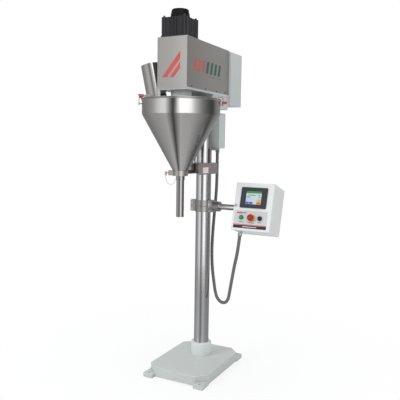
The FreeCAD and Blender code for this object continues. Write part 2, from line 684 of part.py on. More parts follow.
def make_agitator():
    """Two scraper blades that follow the cone, a hub on the sleeve and a ring at the foot."""
    body = piece("agitator_blades", SPINDLE)
    turned(body, [("sleeve_radius", "blade_top - hub_height"),
                  ("hub_radius", "blade_top - hub_height"),
                  ("hub_radius", "blade_top"), ("sleeve_radius", "blade_top")])
    out_top = "blade_out_cone"
    knee = "cone_top - 24"
    for side in ("", "-"):
        arm = sketch(body, "XZ")
        polygon(arm, [
            (f"{side}(hub_radius - 3)", "blade_top - 4"), (f"{side}({out_top})", "blade_top - 4"),
            (f"{side}({out_top})", knee), (f"{side}blade_out_low", "blade_bottom"),
            (f"{side}(lower_ring_bore + 3)", "blade_bottom"),
            (f"{side}(lower_ring_bore + 3)", "blade_bottom + 12"),
            (f"{side}(blade_out_low - blade_width + 7)", "blade_bottom + 12"),
            (f"{side}({out_top} - blade_width)", f"{knee} + 4"),
            (f"{side}({out_top} - blade_width)", "blade_top - 22"),
            (f"{side}(hub_radius - 3)", "blade_top - 22")])
        pad(body, arm, "blade_thick", middle=True)
    ring = sketch(body, offset="blade_bottom")
    circle(ring, "lower_ring_radius")
    circle(ring, "lower_ring_bore")
    pad(body, ring, "12")


def helix_point(radius, turn, height):
    angle = 2 * math.pi * turn
    return Vector(radius * math.cos(angle), radius * math.sin(angle), height)


def make_auger():
    """Screw that meters the powder: a rod with one continuous flight, and a hub on top."""
    inner = value("auger_shaft_radius") - 1
    outer = value("auger_radius")
    pitch = value("auger_pitch")
    thick = value("flight_thick")
    low = value("nozzle_bottom")
    first = low + value("flight_margin")
    steps = int(value("flight_steps"))
    rise = value("auger_top - flight_margin") - thick - first
    count = int(round(rise / pitch * steps))
    rings = []
    for i in range(count + 1):
        turn = i / steps
        height = first + rise * i / count
        rings.append([helix_point(inner, turn, height), helix_point(outer, turn, height),
                      helix_point(outer, turn, height + thick),
                      helix_point(inner, turn, height + thick)])
    faces = []
    for below, above in zip(rings, rings[1:]):
        for a in range(4):
            b = (a + 1) % 4
            for corners in ((below[a], below[b], above[b]), (below[a], above[b], above[a])):
                faces.append(Part.Face(Part.makePolygon(list(corners) + [corners[0]])))
    for ring in (rings[0], rings[-1]):
        faces.append(Part.Face(Part.makePolygon(ring + [ring[0]])))
    flight = Part.Solid(Part.Shell(faces))
    if flight.Volume < 0:
        flight.reverse()
    hub_height = value("auger_hub_height")
    rod = Part.makeCylinder(value("auger_shaft_radius"), value("auger_top") - low + 1,
                            Vector(0, 0, low))
    hub = Part.makeCylinder(value("auger_hub_radius"), hub_height,
                            Vector(0, 0, value("auger_top")))
    seat = Part.makeCylinder(value("spindle_radius"), value("auger_hub_depth"),
                             Vector(0, 0, value("auger_top + auger_hub_height - auger_hub_depth")))
    auger = doc.addObject("Part::Feature", "auger")
    auger.Label = "auger"
    auger.Shape = rod.fuse([flight, hub]).cut(seat)
    place(auger, SPINDLE)
    PIECES.append(auger)


# ---------------------------------------------------------------- hopper, lid and nozzle

def make_hopper():
    """Spun hopper: cylinder, cone and neck in one sheet, a rolled bead, and two keepers."""
    body = piece("hopper", SPINDLE)
    out = "hopper_radius - bead_radius"
    wall = "hopper_sheet"
    turned(body, [
        (f"{out} - {wall}", "bead_z"), (out, "bead_z"), (out, "cone_top"),
        ("cone_bottom_radius", "cone_bottom"), ("neck_radius", "cone_bottom"),
        ("neck_radius", "neck_bottom"), (f"neck_radius - {wall}", "neck_bottom"),
        (f"neck_radius - {wall}", f"cone_bottom + {wall}"),
        (f"cone_bottom_radius - {wall}", f"cone_bottom + {wall}"),
        (f"{out} - {wall}", f"cone_top + {wall} / 2")])
    bead = sketch(body, "XZ")
    circle(bead, "bead_radius", out, "bead_z")
    rolled = feature(body, "Revolution", bead)
    rolled.ReferenceAxis = (origin_part(body, "Z_Axis"), [""])
    rolled.Angle = 360
    for angle in ("latch_angle - 180", "latch_angle"):
        keeper = sketch(body, offset="lid_z - keeper_drop")
        near = f"({out} - {wall} / 2)"
        far = "keeper_out"
        half = "keeper_width / 2"
        corners = []
        for r, t in ((near, f"-{half}"), (far, f"-{half}"), (far, half), (near, half)):
            corners.append((f"{r} * cos({angle}) - ({t}) * sin({angle})",
                            f"{r} * sin({angle}) + ({t}) * cos({angle})"))
        polygon(keeper, corners)
        pad(body, keeper, "keeper_thick")


def make_lid():
    """Flat lid with a bore for the sleeve, a port for the infeed tube, and a hanger plate."""
    body = piece("hopper_lid", SPINDLE)
    disc = sketch(body, offset="rim_z")
    circle(disc, "lid_radius")
    circle(disc, "sleeve_radius + lid_bore_gap")
    pad(body, disc, "lid_thick")
    hanger = sketch(body, offset="lid_z")
    rectangle(hanger, "-head_width / 2", "-head_width / 2 + hanger_width",
              "-(head_front + spindle_y) + hanger_inset",
              "-(head_front + spindle_y) + hanger_inset + hanger_thick")
    pad(body, hanger, "head_plate_z - lid_z")
    port = sketch(body, offset="rim_z")
    circle(port, "infeed_radius - infeed_wall - 4", "infeed_x", "0")
    pocket(body, port, "lid_thick", back=True)

    tube = piece("infeed_tube", INFEED)
    ring = sketch(tube, offset="-infeed_radius")
    circle(ring, "infeed_radius")
    circle(ring, "infeed_radius - infeed_wall")
    pad(tube, ring, "infeed_length + infeed_radius")
    trim = sketch(tube, "XZ")
    lean = "infeed_radius * tan(infeed_lean)"
    polygon(trim, [
        ("-infeed_radius - 5", f"{lean} + 5 * tan(infeed_lean)"),
        ("infeed_radius + 5", f"-({lean}) - 5 * tan(infeed_lean)"),
        ("infeed_radius + 5", "-infeed_radius - 5"),
        ("-infeed_radius - 5", "-infeed_radius - 5")])
    pocket(tube, trim, "infeed_radius * 3", middle=True)
    reduced = sketch(tube, offset="shoulder_height")
    circle(reduced, "infeed_radius + 1")
    circle(reduced, "infeed_radius - shoulder_step")
    pocket(tube, reduced, "shoulder_height + infeed_radius")


def make_nozzle():
    """Straight filling tube, and the collar with a funnel that seats it in the hopper's neck."""
    collar = piece("nozzle_collar", SPINDLE)
    seat = "neck_radius - hopper_sheet - running_fit"
    held = "nozzle_radius - nozzle_step"
    turned(collar, [
        (held, "collar_bottom"), ("collar_radius", "collar_bottom"),
        ("collar_radius", "neck_bottom - collar_flange"),
        ("neck_radius", "neck_bottom - collar_flange"), ("neck_radius", "neck_bottom"),
        (seat, "neck_bottom"), (seat, "neck_bottom + funnel_height"),
        (f"{seat} - 1.5", "neck_bottom + funnel_height"), (held, "neck_bottom")])
    tube = piece("nozzle", SPINDLE)
    inner = "nozzle_radius - nozzle_wall"
    turned(tube, [
        (inner, "nozzle_bottom"), ("nozzle_radius", "nozzle_bottom"),
        ("nozzle_radius", "collar_bottom"), (held, "collar_bottom"), (held, "neck_bottom"),
        (inner, "neck_bottom")])


# ---------------------------------------------------------------- hopper support

def make_support():
    """Yoke round the hopper's neck, and the channel on the column that its bar bolts into."""
    yoke = piece("support_yoke", SPINDLE)
    ring = sketch(yoke, offset="yoke_top - yoke_height")
    circle(ring, "yoke_radius")
    pad(yoke, ring, "yoke_height")
    lug = sketch(yoke, offset="yoke_top - yoke_height")
    rectangle(lug, "-(yoke_radius + yoke_lug)", "0", "-yoke_lug_width / 2", "yoke_lug_width / 2")
    pad(yoke, lug, "yoke_height")
    bar = sketch(yoke, offset="yoke_top - yoke_bar_height")
    rectangle(bar, "-yoke_bar_width / 2", "yoke_bar_width / 2", "0",
              "bracket_front - spindle_y + yoke_reach")
    pad(yoke, bar, "yoke_bar_height")
    foot = sketch(yoke, offset="yoke_top")
    rectangle(foot, "-yoke_bar_width / 2", "yoke_bar_width / 2", "bracket_front - spindle_y",
              "bracket_front - spindle_y + yoke_reach")
    pad(yoke, foot, "bracket_top - bracket_sheet - yoke_top")
    bore = sketch(yoke, offset="yoke_top - yoke_height")
    circle(bore, "neck_radius + running_fit")
    pocket(yoke, bore, "yoke_height", back=True)
    slit = sketch(yoke, offset="yoke_top - yoke_height")
    rectangle(slit, "-(yoke_radius + yoke_lug + 1)", "0", "-1.5", "1.5")
    pocket(yoke, slit, "yoke_height", back=True)
    pin_bore = sketch(yoke, "YZ", "-(yoke_radius + yoke_lug)")
    circle(pin_bore, "pin_radius + running_fit", "0", "yoke_top - yoke_height / 2")
    pocket(yoke, pin_bore, "pin_depth + 1", back=True)

    channel = piece("column_bracket")
    half = "bracket_width / 2"
    outside = sketch(channel, "XZ", "-bracket_rear")
    polygon(outside, [
        (f"-{half}", "bracket_bottom"), (f"-({half} - bracket_sheet)", "bracket_bottom"),
        (f"-({half} - bracket_sheet)", "bracket_top - bracket_sheet"),
        (f"{half} - bracket_sheet", "bracket_top - bracket_sheet"),
        (f"{half} - bracket_sheet", "bracket_bottom"), (half, "bracket_bottom"),
        (half, "bracket_top"), (f"-{half}", "bracket_top")])
    pad(channel, outside, "bracket_rear - bracket_front")
    hole = sketch(channel, offset="bracket_bottom")
    circle(hole, "column_bore", "0", "column_y")
    pocket(channel, hole, "bracket_top - bracket_bottom", back=True)

    clamp = piece("bracket_clamp")
    top = "bracket_top - bracket_sheet"
    body = sketch(clamp, offset=f"{top} - block_height")
    block(body, "bracket_width - 2 * bracket_sheet", "block_depth", "0", "column_y")
    pad(clamp, body, "block_height")
    bore = sketch(clamp, offset=f"{top} - block_height")
    circle(bore, "column_bore", "0", "column_y")
    pocket(clamp, bore, "block_height", back=True)
    slit = sketch(clamp, offset=f"{top} - block_height")
    block(slit, "bracket_width", "block_slit", "0", "column_y")
    pocket(clamp, slit, "block_height", back=True)

    bolts = piece("bracket_bolts")
    heads = sketch(bolts, "YZ", half)
    for y in ("column_y - bracket_bolt_pitch", "column_y + bracket_bolt_pitch"):
        circle(heads, "bracket_bolt_radius", y, f"{top} - block_height / 2")
    pad(bolts, heads, "bracket_bolt_head")
    above = sketch(bolts, offset="bracket_top")
    hexagon(above, "yoke_bolt_radius", "0", "bracket_front + yoke_reach / 2")
    pad(bolts, above, "yoke_bolt_head")


def make_junction_box():
    """Stand on top of the channel, and the painted junction box that it carries."""
    stand = piece("junction_stand")
    half = "bracket_width / 2"
    hoop = sketch(stand, "XZ", "-frame_rear")
    polygon(hoop, [
        (f"-{half}", "frame_low"), (f"-({half} - frame_sheet)", "frame_low"),
        (f"-({half} - frame_sheet)", "frame_top - frame_sheet"),
        (f"{half} - frame_sheet", "frame_top - frame_sheet"),
        (f"{half} - frame_sheet", "frame_low"), (half, "frame_low"),
        (half, "frame_top"), (f"-{half}", "frame_top")])
    pad(stand, hoop, "frame_rear - frame_front")
    windows = sketch(stand, "YZ", f"-{half} - 1")
    rectangle(windows, "frame_front + frame_leg", "frame_rear - frame_leg",
              "frame_low - 1", "frame_top - frame_bar")
    pocket(stand, windows, "bracket_width + 2", back=True)
    hole = sketch(stand, offset="frame_low")
    circle(hole, "column_bore", "0", "column_y")
    pocket(stand, hole, "frame_top - frame_low", back=True)

    box = piece("junction_box")
    outside = sketch(box, offset="junction_z")
    rectangle(outside, "-junction_width / 2", "junction_width / 2", "junction_front",
              "junction_rear - junction_lid")
    pad(box, outside, "junction_height")
    rounded(box, "junction_round", upright)
    inside = sketch(box, "XZ", "-(junction_front + sheet)")
    rectangle(inside, "-(junction_width / 2 - sheet - 2)", "junction_width / 2 - sheet - 2",
              "junction_z + sheet", "junction_z + junction_height - sheet")
    pocket(box, inside, "junction_depth", back=False)
    bore = sketch(box, offset="junction_z")
    circle(bore, "conduit_radius", "stand_gland_x", "stand_gland_y")
    pocket(box, bore, "sheet", back=True)
    lid = piece("junction_lid")
    cover = sketch(lid, "XZ", "-(junction_rear - junction_lid)")
    rectangle(cover, "-junction_width / 2", "junction_width / 2", "junction_z",
              "junction_z + junction_height")
    pad(lid, cover, "junction_lid", back=True)
    rounded(lid, "junction_round", deepwise)
    gland("stand_gland", WORLD, "stand_gland_x", "stand_gland_y", "junction_z")


def gland(name, frame, x, y, z):
    """Hexagonal gland body and round nut, hanging below the face at height z."""
    body = piece(name, frame)
    hexed = sketch(body, offset=z)
    hexagon(hexed, "gland_hex", x, y)
    pad(body, hexed, "gland_hex_height", back=True)
    nut = sketch(body, offset=f"{z} - gland_hex_height")
    circle(nut, "gland_nut_radius", x, y)
    pad(body, nut, "gland_nut_height", back=True)


# ---------------------------------------------------------------- pin and lanyard

def make_pin():
    """Quick-release pin in the yoke's lug, with a moulded sleeve on its end."""
    height = "yoke_top - yoke_height / 2"
    mouth = "-(yoke_radius + yoke_lug)"
    rod = piece("quick_pin", SPINDLE)
    shank = sketch(rod, "YZ", f"{mouth} - pin_length + pin_depth")
    circle(shank, "pin_radius", "0", height)
    pad(rod, shank, "pin_length")
    sleeve = piece("pin_sleeve", SPINDLE)
    x = f"{mouth} - pin_length + pin_depth - pin_sleeve_radius"
    grip = sketch(sleeve, offset=f"{height} - pin_sleeve_length * 0.7")
    circle(grip, "pin_sleeve_radius", x, "0")
    pad(sleeve, grip, "pin_sleeve_length")
    rounded(sleeve, "pin_sleeve_radius * 0.4", at_height(value(f"{height} + pin_sleeve_length * 0.3")))


# ---------------------------------------------------------------- latches of the lid

def radial_plate(body, points, half_near, half_far=None):
    """Plate in the latch's radial plane, from half_near to half_far on both sides of it."""
    if half_far is None:
        sk = sketch(body, "XZ")
        polygon(sk, points)
        pad(body, sk, f"2 * ({half_near})", middle=True)
        return
    for side, back in (("", False), ("-", True)):
        sk = sketch(body, "XZ", f"{side}({half_near})")
        polygon(sk, points)
        pad(body, sk, f"({half_far}) - ({half_near})", back=back)


def rod_across(body, radius, x, z, half):
    sk = sketch(body, "XZ")
    circle(sk, radius, x, z)
    pad(body, sk, f"2 * ({half})", middle=True)


def make_latch(end, frame, elbow):
    """Pull latch: base with two ears, lever with a grip, and a hook that takes the keeper.

    The lever runs from its pivot through the points of elbow, above and below, into its grip.
    """
    pivot = "latch_pivot_r"
    rise = "latch_pivot_rise"
    lever_half = "latch_lever / 2"
    ear_near = f"({lever_half} + latch_gap)"
    ear_far = f"({ear_near} + latch_ear)"
    bar_near = f"({ear_far} + latch_gap)"
    bar_far = f"({bar_near} + latch_bar)"

    base = piece(f"{end}_latch_base", frame)
    foot = sketch(base)
    rectangle(foot, "latch_base_in", "latch_base_out", f"-{bar_far} - latch_foot",
              f"{bar_far} + latch_foot")
    pad(base, foot, "latch_foot")
    window = sketch(base)
    rectangle(window, "latch_base_in + latch_strip", f"{pivot} + latch_rod",
              f"-{ear_near}", ear_near)
    pocket(base, window, "latch_foot", back=True)
    radial_plate(base, [
        (f"{pivot} - 6", f"{rise} - 1"), (pivot, f"{rise} - 7"), (f"{pivot} + 12", "2"),
        ("latch_base_out", "2"), ("latch_base_out", "6"), (f"{pivot} + 6", f"{rise} - 1"),
        (f"{pivot} + 4", f"{rise} + 5"), (f"{pivot} - 4", f"{rise} + 5")], ear_near, ear_far)
    bore = sketch(base, "XZ")
    circle(bore, "latch_rod + running_fit", pivot, rise)
    pocket(base, bore, f"2 * {ear_far} + 1", middle=True)

    wall = "latch_grip_wall"
    low = f"{end}_grip_low"
    high = f"{end}_grip_high"
    inner = f"{end}_grip_in"
    outer = f"{end}_grip_out"
    slant = f"{end}_grip_slant"
    tongue = [(f"{outer} - {slant} - {wall}", f"{low} + {wall}"),
              (f"{outer} - {wall}", f"{high} - {wall}")]
    below, above = elbow
    outline = [
        ("latch_in - 6", rise), ("latch_in - 4", f"{rise} - 5"), (f"{pivot} + 4", f"{rise} - 6")]
    outline += below + tongue + above
    outline += [(f"{pivot} + 6", f"{rise} + 6"), ("latch_in - 4", f"{rise} + 6")]
    lever = piece(f"{end}_latch_lever", frame)
    radial_plate(lever, outline, lever_half)
    hole = sketch(lever, "XZ")
    circle(hole, "latch_rod + running_fit", "latch_in", rise)
    pocket(lever, hole, "latch_lever + 1", middle=True)
    rod_across(lever, "latch_rod", pivot, rise, ear_far)

    grip = piece(f"{end}_latch_grip", frame)
    radial_plate(grip, [
        (f"{inner} + {slant}", low), (f"{outer} - {slant}", low), (outer, high), (inner, high)],
        "latch_grip_half")
    rounded(grip, "latch_grip_wall * 0.75", lambda edge: True)
    core = sketch(grip, "XZ")
    polygon(core, outline)
    pocket(grip, core, "latch_lever", middle=True)

    hook = piece(f"{end}_latch_hook", frame)
    leg_in = "keeper_out + latch_seat"
    leg_out = f"{leg_in} + latch_hook_leg"
    lip_top = "-(keeper_drop + latch_seat)"
    lip_low = f"{lip_top} - latch_lip"
    radial_plate(hook, [
        ("latch_in - 4", f"{rise} - 3"), (leg_in, f"{rise} - 4"), (leg_in, lip_low),
        (leg_out, lip_low), (leg_out, f"{rise} + 1"), ("latch_in - 4", f"{rise} + 4")],
        bar_near, bar_far)
    rod_across(hook, "latch_rod", "latch_in", rise, bar_near)
    lip = sketch(hook, "XZ")
    rectangle(lip, "keeper_out - 5", leg_out, lip_low, lip_top)
    pad(hook, lip, f"2 * {bar_far}", middle=True)


# The front lever runs level into its grip. The rear one bends down over the hopper's rim.
FRONT_ELBOW = (
    [("front_grip_in + 10", "front_grip_low + 7")],
    [("front_grip_in + 1", "front_grip_high - 5.5")])
REAR_ELBOW = (
    [("latch_pivot_r + 31", "5"), ("rear_grip_in + 3", "1"),
     ("rear_grip_in + 4", "rear_grip_low + latch_grip_wall")],
    [("rear_grip_in + 10", "rear_grip_high - latch_grip_wall"), ("rear_grip_in + 9", "7"),
     ("latch_pivot_r + 37", "latch_pivot_rise - 4")])


# ---------------------------------------------------------------- swinging arm

def make_arm():
    """Split clamp with a collared hub, which swivels on the column; pinch bolts; arm tube."""
    clamp = piece("arm_clamp", COLUMN)
    low = "arm_z - clamp_height / 2"
    ring = sketch(clamp, offset=low)
    circle(ring, "clamp_radius")
    pad(clamp, ring, "clamp_height")
    lug = sketch(clamp, offset=low)
    rectangle(lug, "-clamp_lug_reach", "0", "-clamp_lug_depth / 2", "clamp_lug_depth / 2")
    pad(clamp, lug, "clamp_height")
    reach = value("clamp_lug_reach")
    rounded(clamp, "clamp_round", lambda edge: edge.BoundBox.XMax < -reach + 0.5
            and abs(edge.BoundBox.ZLength) < 0.01)
    hub = sketch(clamp, "YZ")
    circle(hub, "clamp_hub_radius", "0", "arm_z")
    pad(clamp, hub, "clamp_hub_end")
    collar = sketch(clamp, "YZ", "clamp_hub_end")
    circle(collar, "arm_collar_radius", "0", "arm_z")
    pad(clamp, collar, "arm_collar_length")
    cheek = sketch(clamp, offset=low)
    rectangle(cheek, "0", "clamp_radius + 22", "-26", "26")
    pad(clamp, cheek, "clamp_height")
    bore = sketch(clamp, offset=low)
    circle(bore, "column_radius + running_fit")
    pocket(clamp, bore, "clamp_height", back=True)
    slit = sketch(clamp, offset=low)
    rectangle(slit, "-(clamp_lug_reach + 1)", "0", "-clamp_slit / 2", "clamp_slit / 2")
    pocket(clamp, slit, "clamp_height", back=True)
    arm_bore = sketch(clamp, "YZ", "arm_start")
    circle(arm_bore, "arm_radius", "0", "arm_z")
    pocket(clamp, arm_bore, "clamp_hub_end + arm_collar_length - arm_start", back=True)

    bolts = piece("arm_clamp_bolts", COLUMN)
    for side, back in (("", False), ("-", True)):
        heads = sketch(bolts, "XZ", f"{side}clamp_lug_depth / 2")
        for step in ("-clamp_bolt_pitch / 2", "clamp_bolt_pitch / 2"):
            hexagon(heads, "clamp_bolt_radius", "-(clamp_radius + clamp_lug_reach) / 2",
                    f"arm_z + {step}")
        pad(bolts, heads, "clamp_bolt_head", back=back)

    tube = piece("arm_tube", COLUMN)
    ring = sketch(tube, "YZ", "arm_start")
    circle(ring, "arm_radius", "0", "arm_z")
    circle(ring, "arm_radius - arm_wall", "0", "arm_z")
    pad(tube, ring, "arm_end - box_sheet - arm_start - door_gap")


# ---------------------------------------------------------------- control box

def make_control_box():
    """Painted box, open at the front, with a hub on its left side that turns on the arm."""
    body = piece("control_box", CONTROL)
    half = "box_width / 2"
    low = "box_low"
    high = "box_low + box_height"
    deep = "box_front + box_depth"
    shell = sketch(body, "XZ", "-(door_back + door_gap)")
    rectangle(shell, f"-{half}", half, low, high)
    pad(body, shell, f"{deep} - door_back - door_gap", back=True)
    rounded(body, "box_round", deepwise)
    cavity = sketch(body, "XZ", "-(door_back + door_gap)")
    rectangle(cavity, f"-({half} - box_sheet)", f"{half} - box_sheet",
              f"{low} + box_sheet", f"{high} - box_sheet")
    pocket(body, cavity, f"{deep} - box_sheet - door_back - door_gap", back=False)
    hub = sketch(body, "YZ", f"-{half}")
    circle(hub, "box_hub_radius")
    pad(body, hub, "box_hub_length", back=True)
    bore = sketch(body, "YZ", f"-{half} - box_hub_length")
    circle(bore, "arm_radius + running_fit")
    pocket(body, bore, "box_hub_length", back=True)
    strike = sketch(body, "XZ", "-(door_back + door_gap)")
    rectangle(strike, f"-({half} - 1)", f"-({half} - box_sheet - strike_depth)",
              "latch_z - strike_height / 2", "latch_z + strike_height / 2")
    pad(body, strike, "box_sheet", back=True)
    hinge_half(body, 0, 1, with_pin=True)
    gland("box_gland", CONTROL, "box_gland_x", "box_gland_y", "box_low")


def knuckle_spans(first):
    """Height spans of every second knuckle of the five-knuckle hinge, from knuckle first."""
    spans = []
    for i in range(first, 5, 2):
        spans.append((f"box_middle + ({i} - 2.5) * knuckle_length + knuckle_gap / 2",
                      "knuckle_length - knuckle_gap"))
    return spans


def hinge_half(body, own, other, with_pin):
    """Knuckles of one leaf on the door's right edge, with room for those of the other leaf."""
    axis = ("box_width / 2", "door_back + door_gap / 2")
    for low, length in knuckle_spans(other):
        room = sketch(body, offset=f"{low} - knuckle_gap")
        circle(room, "knuckle_radius + knuckle_gap", *axis)
        pocket(body, room, f"{length} + 2 * knuckle_gap", back=True)
    for low, length in knuckle_spans(own):
        ring = sketch(body, offset=low)
        circle(ring, "knuckle_radius", *axis)
        pad(body, ring, length)
    rod = sketch(body, offset="box_middle - 2.5 * knuckle_length")
    if with_pin:
        circle(rod, "hinge_pin_radius", *axis)
        pad(body, rod, "5 * knuckle_length")
    else:
        circle(rod, "hinge_pin_radius + running_fit", *axis)
        pocket(body, rod, "5 * knuckle_length", back=True)


def make_door():
    """Door with a folded edge, hinged on the right; it carries the panel and the buttons."""
    door = piece("control_door", CONTROL)
    half = "box_width / 2"
    low = "box_low"
    high = "box_low + box_height"
    slab = sketch(door, "XZ", "-door_back")
    rectangle(slab, f"-{half}", half, low, high)
    pad(door, slab, "door_depth")
    front = value("box_front")
    rounded(door, "box_round * 0.7",
            lambda edge: deepwise(edge) or edge.BoundBox.YMax < front + 0.01)
    tray = sketch(door, "XZ", "-door_back")
    rectangle(tray, f"-({half} - box_sheet)", f"{half} - box_sheet",
              f"{low} + box_sheet", f"{high} - box_sheet")
    pocket(door, tray, "door_depth - box_sheet", back=True)
    cut = sketch(door, "XZ", "-box_front")
    block(cut, "panel_body_width + 2 * head_fit", "panel_body_height + 2 * head_fit",
          "panel_x", "panel_z")
    for x in ("start_x", "stop_x", "selector_x"):
        circle(cut, "button_bore", x, "button_z")
    circle(cut, "lock_stem + running_fit", "latch_x", "latch_z")
    pocket(door, cut, "door_depth")
    hinge_half(door, 1, 0, with_pin=False)

    panel = piece("operator_panel", CONTROL)
    bezel = sketch(panel, "XZ", "-box_front")
    block(bezel, "panel_width", "panel_height", "panel_x", "panel_z")
    pad(panel, bezel, "panel_thick")
    rounded(panel, "panel_round", deepwise)
    window = sketch(panel, "XZ", "-box_front + panel_thick")
    block(window, "screen_width", "screen_height", "panel_x", "panel_z")
    pocket(panel, window, "screen_thick")
    housing = sketch(panel, "XZ", "-box_front")
    block(housing, "panel_body_width", "panel_body_height", "panel_x", "panel_z")
    pad(panel, housing, "panel_body_depth", back=True)

    screen = piece("panel_screen", CONTROL)
    glass = sketch(screen, "XZ", "-box_front + panel_thick - screen_thick")
    block(glass, "screen_width - 0.4", "screen_height - 0.4", "panel_x", "panel_z")
    pad(screen, glass, "screen_thick")

    bezels = piece("button_bezels", CONTROL)
    for x, size, height in (("start_x", "bezel_radius", "bezel_height"),
                            ("stop_x", "bezel_radius", "bezel_height"),
                            ("selector_x", "bezel_radius", "bezel_height")):
        ring = sketch(bezels, "XZ", "-box_front")
        circle(ring, size, x, "button_z")
        circle(ring, "button_stem + running_fit", x, "button_z")
        pad(bezels, ring, height)


def on_door(body, offset):
    """Sketch parallel to the door's front, offset in front of it."""
    return sketch(body, "XZ", f"-box_front + {offset}")


def stem(body, x, z, start):
    """Stem of a button, from start in front of the door back through it."""
    sk = on_door(body, start)
    circle(sk, "button_stem", x, z)
    pad(body, sk, "stem_length", back=True)


def make_buttons():
    """Start button, mushroom stop button, three-position selector and the door's lock."""
    start = piece("start_button", CONTROL)
    stem(start, "start_x", "button_z", "bezel_height + 0.5")
    cap = on_door(start, "bezel_height + 0.5")
    circle(cap, "button_stem", "start_x", "button_z")
    pad(start, cap, "start_height - 4")

    stop = piece("stop_button", CONTROL)
    stem(stop, "stop_x", "button_z", "stop_stand")
    head = on_door(stop, "stop_stand")
    circle(head, "stop_radius", "stop_x", "button_z")
    pad(stop, head, "stop_height")
    limit = value("box_front - stop_stand - stop_height") + 0.01
    rounded(stop, "stop_height * 0.45", lambda edge: edge.BoundBox.YMax < limit)

    selector = piece("selector_knob", CONTROL)
    stem(selector, "selector_x", "button_z", "bezel_height + 0.4")
    disc = on_door(selector, "bezel_height + 0.4")
    circle(disc, "selector_radius", "selector_x", "button_z")
    pad(selector, disc, "selector_height")
    bar = on_door(selector, "bezel_height + 0.4")
    block(bar, "selector_bar", "2 * selector_radius - 1", "selector_x", "button_z")
    pad(selector, bar, "selector_rise")

    lock = piece("door_lock", CONTROL)
    face = on_door(lock, "0")
    circle(face, "lock_radius", "latch_x", "latch_z")
    pad(lock, face, "lock_height")
    slot = on_door(lock, "lock_height")
    block(slot, "lock_radius * 1.2", "1.6", "latch_x", "latch_z")
    pocket(lock, slot, "lock_height * 0.5")
    spindle = on_door(lock, "0")
    circle(spindle, "lock_stem", "latch_x", "latch_z")
    pad(lock, spindle, "door_depth + door_gap + box_sheet + door_gap", back=True)
    cam = sketch(lock, "XZ", "-(door_back + door_gap + box_sheet + door_gap)")
    rectangle(cam, "latch_x - cam_reach", "latch_x + cam_width / 2",
              "latch_z - cam_width / 2", "latch_z + cam_width / 2")
    pad(lock, cam, "cam_thick", back=True)


# ---------------------------------------------------------------- conduit and lanyard

def rounded_route(points):
    """Straight runs joined by tangent arcs. Returns the wire and the arcs' radii."""
    edges = []
    radii = []
    start = points[0]
    for before, corner, after in zip(points, points[1:], points[2:]):
        inward = corner - before
        outward = after - corner
        run = min(inward.Length, outward.Length)
        turn = inward.getAngle(outward)
        cut = 0.45 * run
        radii.append(cut / math.tan(turn / 2))
        first = corner - inward.normalize() * cut
        last = corner + outward.normalize() * cut
        middle = corner - (corner - (first + last) * 0.5).normalize() * (
            (radii[-1] / math.cos(turn / 2)) - radii[-1])
        edges.append(Part.LineSegment(start, first).toShape())
        edges.append(Part.Arc(first, middle, last).toShape())
        start = last
    edges.append(Part.LineSegment(start, points[-1]).toShape())
    return Part.Wire(edges), radii


def make_cord(name, points, radius):
    """Round cord swept along a rounded route."""
    path, radii = rounded_route(points)
    section = Part.Wire([Part.makeCircle(radius, points[0], points[1] - points[0])])
    solid = path.makePipeShell([section], True, False)
    cord = doc.addObject("Part::Feature", name)
    cord.Label = name
    cord.Shape = solid
    PIECES.append(cord)
    expected = math.pi * radius ** 2 * path.Length
    print(name, "length", round(path.Length, 1), "radii", [round(r) for r in radii],
          "volume", round(solid.Volume / expected, 4))


# Places that the conduit passes on its way: x, y, and the height above its lowest point.
CONDUIT_WAY = [
    (44, 205, 893), (46, 198, 763), (41, 187, 628), (36, 173, 483), (37, 158, 343),
    (49, 144, 223), (70, 131, 125), (92, 119, 35), (129, 101, 1), (178, 77, 0),
    (215, 57, 33), (234, 44, 118), (254, 30, 203), (276, 12, 288), (302, -14, 358)]


def make_conduit():
    """Conduit that hangs in a loop from the junction box's gland to the control box's gland."""
    lean = math.radians(value("box_lean"))
    up = Vector(0, math.sin(lean), math.cos(lean))
    back = Vector(0, math.cos(lean), -math.sin(lean))
    drop = value("gland_hex_height + gland_nut_height")
    start = Vector(value("stand_gland_x"), value("stand_gland_y"), value("junction_z") - drop)
    pivot = Vector(value("box_x"), value("column_y"), value("arm_z"))
    end = (pivot + Vector(value("box_gland_x"), 0, 0) + back * value("box_gland_y")
           + up * (value("box_low") - drop))
    low = value("loop_low")
    way = [Vector(x, y, low + rise) for x, y, rise in CONDUIT_WAY]
    points = [start] + way + [end - up * 55, end]
    make_cord("conduit", points, value("conduit_radius"))


def make_lanyard():
    """Thin cable from the pin's sleeve to the nozzle's collar."""
    y = value("spindle_y")
    height = value("yoke_top - yoke_height / 2")
    x = value("-(yoke_radius + yoke_lug) - pin_length + pin_depth - pin_sleeve_radius")
    start = Vector(x, y, height - 0.7 * value("pin_sleeve_length"))
    end = Vector(-value("collar_radius"), y, value("collar_bottom") + 5)
    sag = [(0, 0, 45.5), (14, -2, 67.5), (40, -3, 75.5), (64, -2, 65.5)]
    way = [Vector(x + along, y + out, height - below) for along, out, below in sag]
    points = [start] + way + [end - Vector(17, 0, 5), end]
    make_cord("lanyard", points, value("lanyard_radius"))


make_base()
make_column()
make_head_frame()
make_cover()
make_rear_enclosure()
make_motor()
make_spindle()
make_agitator_drive()
make_agitator()
make_auger()
make_hopper()
make_lid()
make_nozzle()
make_support()
make_junction_box()
make_pin()
make_latch("front", LATCH_FRONT, FRONT_ELBOW)
make_latch("rear", LATCH_REAR, REAR_ELBOW)
make_arm()
make_control_box()
make_door()
make_buttons()
make_conduit()
make_lanyard()
doc.recompute()

# ---------------------------------------------------------------- checks and export

